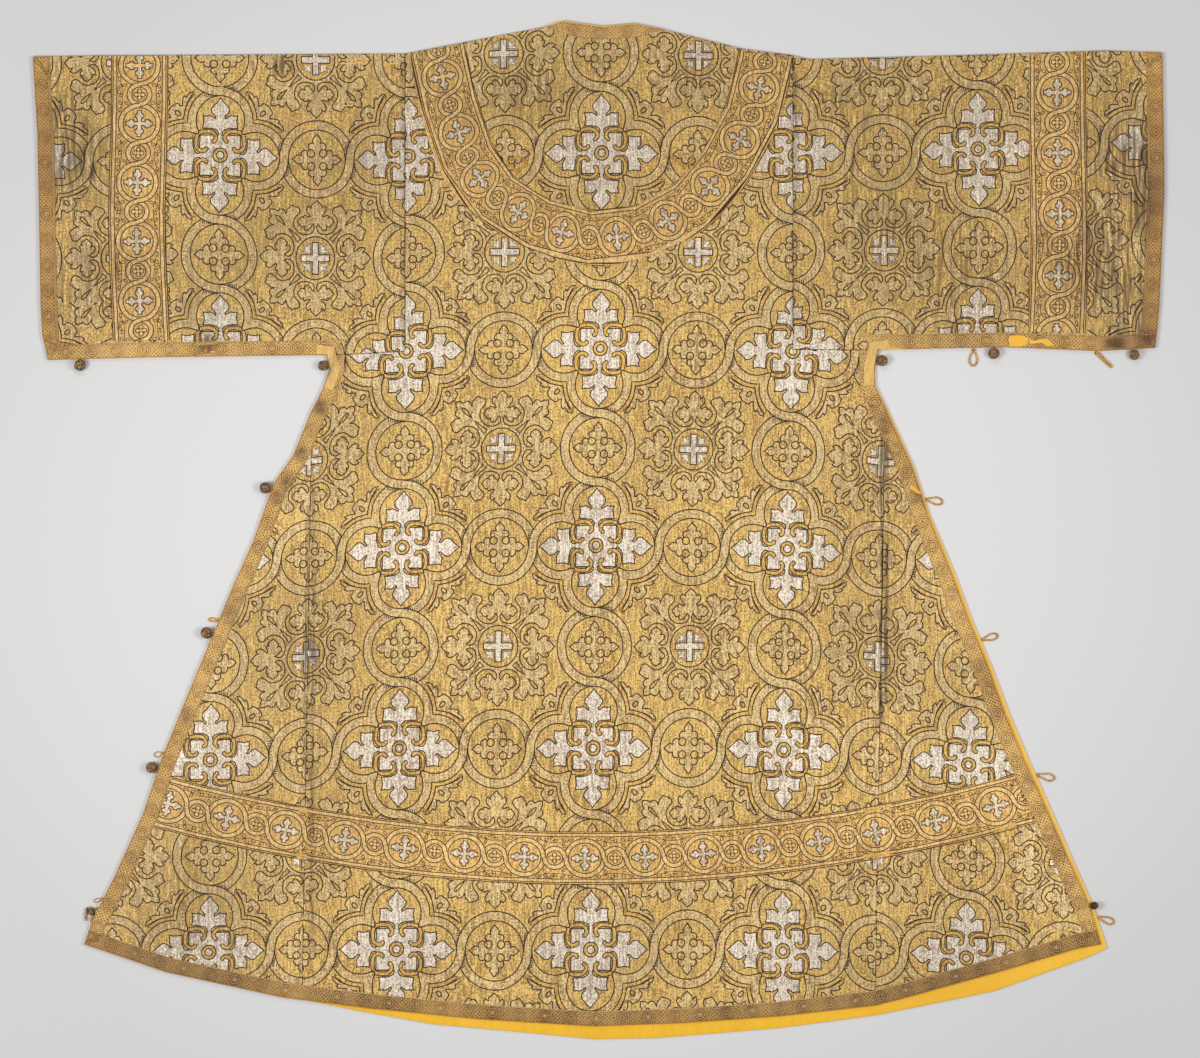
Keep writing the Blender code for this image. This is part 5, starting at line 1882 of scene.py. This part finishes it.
@dataclass
class Bands:
    """The four woven bands that lie on the front."""

    garment: Garment
    base: float = FRONT_WALL + TRIM_GAP
    chart: BandChart = field(default_factory=BandChart)

    # How the hem band's middle line bows: its lowest place and how fast it rises from there
    HEM_LOW = (-15, -419)
    HEM_RISE = 0.000243

    HEM_RINGS = (
        -550.7, -474.8, -399.7, -324.5, -247.7, -171.5, -94.7, -17.3, 59.5, 133.8, 208, 282.2, 353.9, 430.7,
        508.2,
    )
    COLLAR = (
        (-208, 640), (-203.5, 603), (-198.2, 573.5), (-188.8, 541.2), (-178.5, 508), (-167.5, 478),
        (-153, 452.5), (-134, 429), (-113, 414), (-93.7, 401.5), (-70, 389), (-45.6, 381), (-22, 376),
        (1.9, 374.1), (27, 375.5), (51.5, 381), (75, 390), (97, 401.5), (115.5, 414), (136, 433), (155, 457),
        (169, 480), (182, 502), (191, 521), (198.2, 538.3), (208.7, 578.6), (213.5, 603), (219, 640),
    )
    COLLAR_RINGS = (
        (-201.1, 579.8), (-179.6, 507.9), (-148.5, 452.2), (-101.4, 408.2), (-46.6, 382.7), (23.4, 376.2),
        (88.2, 397.4), (142.5, 439.7), (179.7, 499.8), (202.8, 566.7),
    )
    LEFT_SLEEVE = (
        (-587, 607), (-587, 520), (-589, 470), (-590.5, 400), (-590, 360), (-588, 320), (-585.5, 266),
        (-584.5, 243),
    )
    LEFT_SLEEVE_RINGS = ((-587, 594.6), (-587, 520.3), (-589, 445.2), (-590, 369.9), (-587.5, 293.4))
    RIGHT_SLEEVE = ((586.4, 610.8), (587, 483), (590, 405), (588.6, 325), (585.8, 253.4))
    RIGHT_SLEEVE_RINGS = ((586.4, 560), (587, 482.9), (590, 405.1), (588.6, 325.4), (585.8, 247))

    def hem(self, across: Sequence[float]) -> Loop:
        """Points on the hem band's bowed middle line."""
        x = np.array(across, float)
        return np.column_stack((x, self.HEM_LOW[1] + self.HEM_RISE * (x - self.HEM_LOW[0]) ** 2))

    def runs(self) -> list[BandRun]:
        """The bands and where they run.

        Returns:
            The four bands.
        """
        return [
            BandRun("hem_band", self.hem(np.linspace(-640, 640, 161)), self.hem(self.HEM_RINGS), 68.0),
            BandRun("collar_band", lined(self.COLLAR, 6), self.COLLAR_RINGS, 72.0),
            BandRun("sleeve_band_left", lined(self.LEFT_SLEEVE, 8), self.LEFT_SLEEVE_RINGS, 73.0),
            BandRun("sleeve_band_right", lined(self.RIGHT_SLEEVE, 8), self.RIGHT_SLEEVE_RINGS, 74.0),
        ]

    def build(self) -> None:
        """Makes the bands."""
        finishes = self.garment.finishes.band
        for run in self.runs():
            outline = run.course.find(self.garment.outlines[run.name])
            box = run.charted(outline)
            scars = [run.course.find(scar) for scar in scars_of(run.name)]
            loops = [run.laid(loop) for loop in self.chart.loops_in(box.min(0), box.max(0))]
            shell = Shell(run.name, outline, loops + scars, step=9.0, place=run.course.place)
            middles = shell.middles()
            marks = self.chart.tints(run.charted(middles))
            for scar in scars:
                marks[within(scar, middles)] = len(finishes) - 1
            heights = self.garment.over_front(self.base + TRIM_WALL), self.garment.over_front(self.base)
            made = shell.build(*heights, marks, finishes)
            on = ["front_body"] if "sleeve" not in run.name else [run.name.replace("sleeve_band", "front_sleeve")]
            self.garment.finish(made, "woven_band", on, run.width)


@dataclass
class Galloons:
    """The woven braids along the edges, and the plain ribbons round the armpits."""

    garment: Garment
    width: float = 19.0
    ribbon_width: float = 12.5
    base: float = FRONT_WALL + TRIM_GAP

    # A ring with a white cross on each braid, on the plan, and the rings' pitch
    RINGS = {
        "cuff_galloon_right": (713.8, 411.9, 32.8),
        "cuff_galloon_left": (-703.5, 273.9, 32.9),
        "side_galloon_right": (427.8, -19.1, 33.0),
        "side_galloon_left": (-585.3, -387.7, 33.0),
        "underarm_galloon_right": (629.4, 244.6, 33.0),
        "underarm_galloon_left": (-681.5, 228.5, 33.0),
        "hem_galloon": (-3.0, -624.0, 33.4),
        "neck_galloon": (2.0, 637.0, 33.4),
    }

    # Places under the right arm and on the right side where the braid is torn down to the silk
    TORN = {
        "underarm_galloon_right": (
            (
                (524.9, 248.3), (533.1, 249.7), (544.6, 248.6), (549.8, 245.8),
                (548.5, 238.1), (539.5, 235.4), (526.1, 235.4),
            ),
            (
                (551.5, 244.8),
                (557.4, 242.3),
                (566.4, 244.7),
                (574.1, 245.1),
                (580.5, 239.4),
                (581.8, 236.2),
                (574.1, 236.9),
                (565.1, 240.5),
                (557.4, 239.2),
                (551.5, 239.0),
            ),
            ((360, 231.2), (374, 231.5), (391, 231.9), (391, 232.4), (378, 233.6), (362, 234.2)),
        ),
        "side_galloon_right": (
            (
                (479.2, -121.0), (484.0, -117.2), (490.4, -120.2), (493.6, -127.0),
                (494.2, -134.0), (488.2, -133.4), (482.0, -128.0),
            ),
        ),
    }

    # The neck's silk lip: its depth and half its length; and the rings counted ahead of the one with the cross
    LIP = 0.9
    LIP_HALF = 64
    AHEAD = 29.5

    # The braid with the knot, the knot's place, its outer and inner edge, its height and how far it spreads
    KNOTTED = "underarm_galloon_left"
    KNOT = (-501.5, 230.5)
    KNOT_EDGES = (3.2, 1.7)
    KNOT_HEIGHT = 2.6
    KNOT_SPREAD = 2.4

    def course(self, name: str) -> Course:
        """The outer edge that a braid follows, with the braid to its left.

        Args:
            name: The braid.

        Returns:
            The edge's course.
        """
        outline = self.garment.outlines[name]
        near = away_from(self.garment.outer, outline) < BESIDE
        after = np.flatnonzero(~near & np.roll(near, -1))
        first = int(after[0]) + 1 if len(after) else 0
        turned, flags = np.roll(outline, -first, 0), np.roll(near, -first)
        count = int(np.argmin(flags)) if not flags.all() else len(flags)
        return Course(turned[: max(2, count)])

    def build(self) -> None:
        """Makes the braids and ribbons."""
        for name in self.garment.outlines:
            if "galloon" in name:
                self.braid(name)
            elif "ribbon" in name:
                self.ribbon(name)

    def braid(self, name: str) -> None:
        """Makes one braid, with the place along and across it kept on its points.

        Args:
            name: The braid.
        """
        course, finishes = self.course(name), self.garment.finishes
        torn = [np.array(loop, float) for loop in self.TORN.get(name, ())] + scars_of(name)
        torn = [loop if signed_area(loop) > 0 else loop[::-1] for loop in torn]
        knot = [circle(*self.KNOT, radius, 1.4) for radius in self.KNOT_EDGES] if name == self.KNOTTED else []
        shell = Shell(name, self.garment.outlines[name], torn + knot, step=6.0, back_step=12.0)
        flat, low = self.garment.over_front(self.base + TRIM_WALL), self.garment.over_front(self.base)

        def top(points: Loop) -> np.ndarray:
            """The braid's upper side, with the knot of thread where a button is lost."""
            far = ((points - self.KNOT) ** 2).sum(1)
            return flat(points) + self.KNOT_HEIGHT * np.exp(-far / self.KNOT_SPREAD**2)

        marks = np.zeros(len(shell.faces), int)
        middles = shell.middles()
        for loop in torn:
            marks[within(loop, middles)] = 1
        marks[np.hypot(*(middles - self.KNOT).T) < self.KNOT_EDGES[0]] = 2
        if name == "neck_galloon":
            lip = away_from(self.garment.outer, middles) < self.LIP
            marks[lip & (np.abs(middles[:, 0]) < self.LIP_HALF)] = 1
        made = shell.build(top, low, marks, [finishes.galloon(name), finishes.silk, finishes.cord])
        found = course.find(points_of(made)[:, :2])
        x, y, pitch = self.RINGS[name]
        start = float(course.find(np.array([(x, y)]))[0, 0])
        along = (found[:, 0] - start) * GalloonFinish.pitch / pitch + self.AHEAD * GalloonFinish.pitch
        keep(made, "weave", np.column_stack((along, found[:, 1], np.zeros(len(found)))))
        self.garment.finish(made, "gold_galloon", ["front_body"], self.width)

    def ribbon(self, name: str) -> None:
        """Makes one plain ribbon.

        Args:
            name: The ribbon.
        """
        base = self.base + TRIM_WALL + TRIM_GAP
        shell = Shell(name, self.garment.outlines[name], step=5.0, back_step=9.0)
        heights = self.garment.over_front(base + TRIM_WALL), self.garment.over_front(base)
        made = shell.build(*heights, np.zeros(len(shell.faces), int), [self.garment.finishes.ribbon])
        side = name.rsplit("_", 1)[1]
        self.garment.finish(made, "plain_ribbon", [f"side_galloon_{side}"], self.ribbon_width)


def swept(path: np.ndarray, radius: float, sides: int, closed: bool) -> tuple[np.ndarray, np.ndarray]:
    """A round cord along a path.

    Args:
        path: Its middle line in three dimensions.
        radius: The cord's radius.
        sides: Points round it.
        closed: Whether its ends meet.

    Returns:
        Points and four-sided faces.
    """
    ahead = np.roll(path, -1, 0) - np.roll(path, 1, 0)
    if not closed:
        ahead[0], ahead[-1] = path[1] - path[0], path[-1] - path[-2]
    ahead /= np.maximum(np.linalg.norm(ahead, axis=1), 1e-9)[:, None]
    side = np.cross(ahead, (0.13, 0.21, 0.97))
    side /= np.maximum(np.linalg.norm(side, axis=1), 1e-9)[:, None]
    up = np.cross(side, ahead)
    turn = 2 * math.pi * np.arange(sides) / sides
    ring = side[:, None] * np.cos(turn)[None, :, None] + up[:, None] * np.sin(turn)[None, :, None]
    points = (path[:, None] + ring * radius).reshape(-1, 3)
    count = len(path) if closed else len(path) - 1
    i, j = np.meshgrid(np.arange(count), np.arange(sides), indexing="ij")
    after, beside = (i + 1) % len(path), (j + 1) % sides
    faces = np.stack((i * sides + j, i * sides + beside, after * sides + beside, after * sides + j), -1)
    return points, faces.reshape(-1, 4)


def joined(name: str, parts: Sequence[tuple[np.ndarray, np.ndarray]], finish: bpy.types.Material) -> bpy.types.Object:
    """One object from several sets of points and faces, in millimetres.

    Args:
        name: The object's name.
        parts: Points and faces of each.
        finish: The material.

    Returns:
        The new object.
    """
    firsts = np.cumsum([0] + [len(spots) for spots, _ in parts])
    faces = np.vstack([rings + first for (_, rings), first in zip(parts, firsts)])
    return new_object(name, np.vstack([spots for spots, _ in parts]), faces, [finish])


@dataclass
class Fastenings:
    """The wound buttons and the twisted cord loops."""

    garment: Garment
    wraps: int = 6
    groove: float = 0.075
    shank: float = 0.9
    ply: float = 0.6
    pitch: float = 5.4
    rows: int = 40
    columns: int = 56

    # The way each loop points in degrees, its length, its width and its cord
    LOOPS = {
        "loop_right_sleeve_1": (-92, 22.0, 12.5, 2.6),
        "loop_right_sleeve_2": (-43, 29.0, 5.6, 2.6),
        "loop_right_side_1": (-10, 22.0, 11.5, 2.6),
        "loop_right_side_2": (16, 21.5, 10.5, 2.6),
        "loop_right_side_3": (-12, 23.5, 11.5, 2.6),
        "loop_right_side_4": (-19, 22.0, 11.0, 2.6),
        "loop_left_side_1": (178, 12.5, 6.4, 2.4),
        "loop_left_side_2": (196, 12.0, 8.0, 1.6),
        "loop_left_hem": (200, 12.0, 6.0, 1.5),
        "loop_collar_left": (92, 20.5, 26.0, 2.4),
        "loop_collar_right": (87, 19.5, 25.0, 2.4),
    }

    # The loose strands of the undone button, from its middle
    LOOSE = (
        ((3.6, 2.0), (0.4, 5.4), (-4.2, 4.6), (-6.2, -0.6), (-6.6, -6.4), (-5.8, -11.2)),
        ((2.2, 3.0), (3.4, -2.8), (1.2, -7.8), (0.8, -12.2)),
        ((3.0, 2.6), (7.6, 5.0)),
    )

    def ball(self, centre: np.ndarray, radius: float, seed: int) -> tuple[np.ndarray, np.ndarray]:
        """A ball wound with thread in several turns.

        Args:
            centre: Its middle.
            radius: Its radius.
            seed: Which way the turns lie.

        Returns:
            Points and faces.
        """
        down = np.linspace(0.02, math.pi - 0.02, self.rows)
        across = np.linspace(0, 2 * math.pi, self.columns, endpoint=False)
        a, b = np.meshgrid(down, across, indexing="ij")
        way = np.stack((np.sin(a) * np.cos(b), np.sin(a) * np.sin(b), np.cos(a)), -1).reshape(-1, 3)
        lean = 0.9 * seed
        axes = np.array(
            (
                (math.cos(lean), math.sin(lean), 0.35),
                (-math.sin(lean), math.cos(lean), 0.5),
                (math.cos(lean + 0.8), math.sin(lean + 0.8), -0.9),
            )
        )
        axes /= np.linalg.norm(axes, axis=1)[:, None]
        height = way @ axes.T
        pick = np.abs(height).argmin(1)
        wound = np.cos(height[np.arange(len(way)), pick] * math.pi * self.wraps)
        points = centre + way * (radius * (1 - self.groove + self.groove * wound))[:, None]
        i, j = np.meshgrid(np.arange(self.rows - 1), np.arange(self.columns), indexing="ij")
        i, beside = i * self.columns, (j + 1) % self.columns
        faces = np.stack((i + j, i + self.columns + j, i + self.columns + beside, i + beside), -1)
        return points, faces.reshape(-1, 4)

    def buttons(self) -> None:
        """Makes the buttons, each with a short thread shank to the garment's edge."""
        for number, name in enumerate(sorted(n for n in self.garment.nodes if n.startswith("button"))):
            low, high = (np.array(c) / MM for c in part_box(name))
            centre, radius = (low + high) / 2, float(high[2] - low[2]) / 2
            flat = centre[:2]
            foot = self.foot(flat)
            way = (foot - flat) / max(1e-6, float(np.hypot(*(foot - flat))))
            start = np.array((*(flat + way * radius * 0.8), centre[2]))
            end = np.array((*(foot + way * 2.5), 3.4))
            t = np.linspace(0, 1, 7)[:, None]
            line = start + (end - start) * t + np.sin(t * math.pi) * (0, 0, 0.8)
            if name == "button_left_hem":
                parts = self.undone(centre, number)
            else:
                parts = [self.ball(centre, radius, number), swept(line, self.shank, 8, False)]
            made = joined(name + WOUND, parts, self.garment.finishes.thread)
            self.shade(made, centre, radius, name == "button_right_hem")
            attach(made, "root")
            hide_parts(name)

    def undone(self, centre: np.ndarray, seed: int) -> list[tuple[np.ndarray, np.ndarray]]:
        """The button that has come undone: a small core with loose strands of its cord.

        Args:
            centre: The middle of the whole ball.
            seed: Which way the turns lie.

        Returns:
            Points and faces of each part.
        """
        parts = [self.ball(centre * (1, 1, 0) + (0, 0, 3.8), 3.7, seed)]
        for spots in self.LOOSE:
            line = lined(spots, 1.2) + centre[:2]
            height = 2.2 + 0.5 * np.sin(np.arange(len(line)) * 0.9)
            parts.append(swept(np.column_stack((line, height)), 1.7, 8, False))
        return parts

    def shade(self, made: bpy.types.Object, centre: np.ndarray, radius: float, dark: bool) -> None:
        """Keeps on a button's points how deep each lies between the turns of thread, so that the thread's material
        paints shade in the grooves.

        Args:
            made: The button.
            centre: Its middle.
            radius: Its radius.
            dark: Whether the whole of it is dark.
        """
        far = np.linalg.norm(points_of(made) - centre, axis=1) / radius
        depth = np.clip((0.985 - far) / 0.11, 0, 1) * (far > 0.8) + 0.5 * (far <= 0.8)
        # Groove depth, painted as shade by the thread's material
        keep(made, "wear", np.maximum(depth, 0.6) if dark else depth)

    def foot(self, flat: np.ndarray) -> np.ndarray:
        """The nearest point of the garment's outer edge.

        Args:
            flat: A place on the plan.

        Returns:
            The point.
        """
        starts, runs = self.garment.outer[:, :2], self.garment.outer[:, 2:] - self.garment.outer[:, :2]
        t = np.clip(((flat - starts) * runs).sum(1) / np.maximum((runs**2).sum(1), 1e-9), 0, 1)
        spots = starts + runs * t[:, None]
        return spots[((spots - flat) ** 2).sum(1).argmin()]

    def plan(self, angle: float, length: float, width: float, cord: float) -> Loop:
        """A loop's middle line on the plan.

        Args:
            angle: The way it points, in degrees.
            length: From its root to its head.
            width: Its widest place.
            cord: The cord's thickness.

        Returns:
            Its points, closed, near the plan's middle.
        """
        reach = min(width * 0.62, length * 0.36)
        middle, across = length - cord / 2 - reach, (width - cord) / 2
        head = [(middle + reach * math.cos(a), across * math.sin(a)) for a in np.radians(np.linspace(-110, 110, 9))]
        root = 1.75 + (cord - 2.6) / 2
        tail = [(root * 1.9, root), (0.0, root * 0.62), (0.0, -root * 0.62), (root * 1.9, -root)]
        c, s = math.cos(math.radians(angle)), math.sin(math.radians(angle))
        return flowing(head + tail, (), 1.1) @ np.array(((c, s), (-s, c)))

    def twisted(self, path: np.ndarray, cord: float) -> list[tuple[np.ndarray, np.ndarray]]:
        """Two strands twisted together along a closed path.

        Args:
            path: The cord's middle line.
            cord: Its thickness.

        Returns:
            Points and faces of each strand.
        """
        runs = np.linalg.norm(np.roll(path, -1, 0) - path, axis=1)
        whole = float(runs.sum())
        turns = max(2, round(whole / self.pitch))
        phase = np.concatenate(([0.0], np.cumsum(runs)[:-1])) / whole * turns * 2 * math.pi
        ahead = np.roll(path, -1, 0) - np.roll(path, 1, 0)
        ahead /= np.linalg.norm(ahead, axis=1)[:, None]
        side = np.cross(ahead, (0, 0, 1))
        side /= np.linalg.norm(side, axis=1)[:, None]
        up = np.cross(side, ahead)
        strand = cord / 2 * self.ply
        parts = []
        for half in (0, math.pi):
            shift = side * np.cos(phase + half)[:, None] + up * np.sin(phase + half)[:, None]
            parts.append(swept(path + shift * (cord / 2 - strand), strand, 7, True))
        return parts

    def loops(self) -> None:
        """Makes the loops, those at the collar on the cloth and the others on the ground."""
        for name, (angle, length, width, cord) in self.LOOPS.items():
            plan = self.plan(angle, length, width, cord)
            low, high = (np.array(corner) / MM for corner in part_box(name))
            plan = plan - (plan.min(0) + plan.max(0)) / 2 + ((low + high) / 2)[:2]
            if "collar" in name:
                height = self.garment.relief.lift(plan) + FRONT_WALL + 2 * TRIM_GAP + cord / 2
            else:
                height = np.full(len(plan), cord / 2 + 0.05)
            parts = self.twisted(np.column_stack((plan, height)), cord)
            made = joined(name + WOUND, parts, self.garment.finishes.cord)
            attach(made, "root")
            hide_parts(name)

    def build(self) -> None:
        """Makes buttons and loops."""
        self.buttons()
        self.loops()


@dataclass
class Studio:
    """The pale ground, the soft light and the camera straight above."""

    height: float = 6.0
    lens: float = 140.6
    side: float = 8000.0
    below: float = -0.4

    def ground(self) -> None:
        """Makes the ground, with a painted fall-off of the light: lighter in the middle and darker away from it."""
        graph = Graph("paper")
        x, y = graph.split(graph.place)
        # Painted fall-off of the light: the colour darkens from the middle outwards
        edge = graph.times(graph.plus(graph.times(x, x), graph.times(y, y)), 1.3, clamp=True)
        colour = graph.mix(edge, linear(220, 220, 220), linear(204, 204, 204))
        graph.put(graph.shader.inputs["Base Color"], colour)
        graph.shader.inputs["Roughness"].default_value = 0.9
        half, low = self.side / 2, self.below
        corners = np.array(((-half, -half, low), (half, -half, low), (half, half, low), (-half, half, low)))
        floor = new_object("floor", corners, np.array([(0, 1, 2, 3)]), [graph.material])

    def light(self, name: str, spot: tuple[float, float, float], size: float, power: float) -> None:
        """Adds one soft lamp that looks at the garment.

        Args:
            name: The lamp.
            spot: Where it hangs, in metres.
            size: How wide it is.
            power: How bright it is.
        """
        data = bpy.data.lights.new(name, "AREA")
        data.shape = "DISK"
        data.size = size
        data.energy = power
        lamp = bpy.data.objects.new(name, data)
        lamp.location = spot
        lamp.rotation_euler = (-Vector(spot)).to_track_quat("-Z", "Y").to_euler()
        bpy.context.scene.collection.objects.link(lamp)

    def build(self) -> None:
        """Makes the ground, lights and camera."""
        self.ground()
        self.light("lamp_left", (-1.7, -0.3, 2.6), 1.2, 50)
        self.light("lamp_right", (1.7, -0.1, 2.6), 1.2, 39)
        self.light("lamp_top", (-0.3, 1.9, 2.6), 1.2, 15)
        world = bpy.data.worlds.new("room")
        world.use_nodes = True
        sky = world.node_tree.nodes["Background"]
        sky.inputs["Color"].default_value = (1.0, 0.985, 0.965, 1.0)
        sky.inputs["Strength"].default_value = 0.245
        bpy.context.scene.world = world
        data = bpy.data.cameras.new("camera")
        data.lens = self.lens
        camera = bpy.data.objects.new("camera", data)
        camera.location = (0.00192, 0.00192, self.height)
        bpy.context.scene.collection.objects.link(camera)
        bpy.context.scene.camera = camera
        bpy.context.scene.view_settings.view_transform = "Standard"


def main() -> None:
    """Builds the garment on its frame."""
    logging.basicConfig(level=logging.INFO, format="%(message)s")
    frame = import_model()
    garment = Garment(frame)
    Studio().build()
    Panels(garment).build()
    Lining(garment).build()
    Bands(garment).build()
    Galloons(garment).build()
    Fastenings(garment).build()


if __name__ == "__main__":
    main()
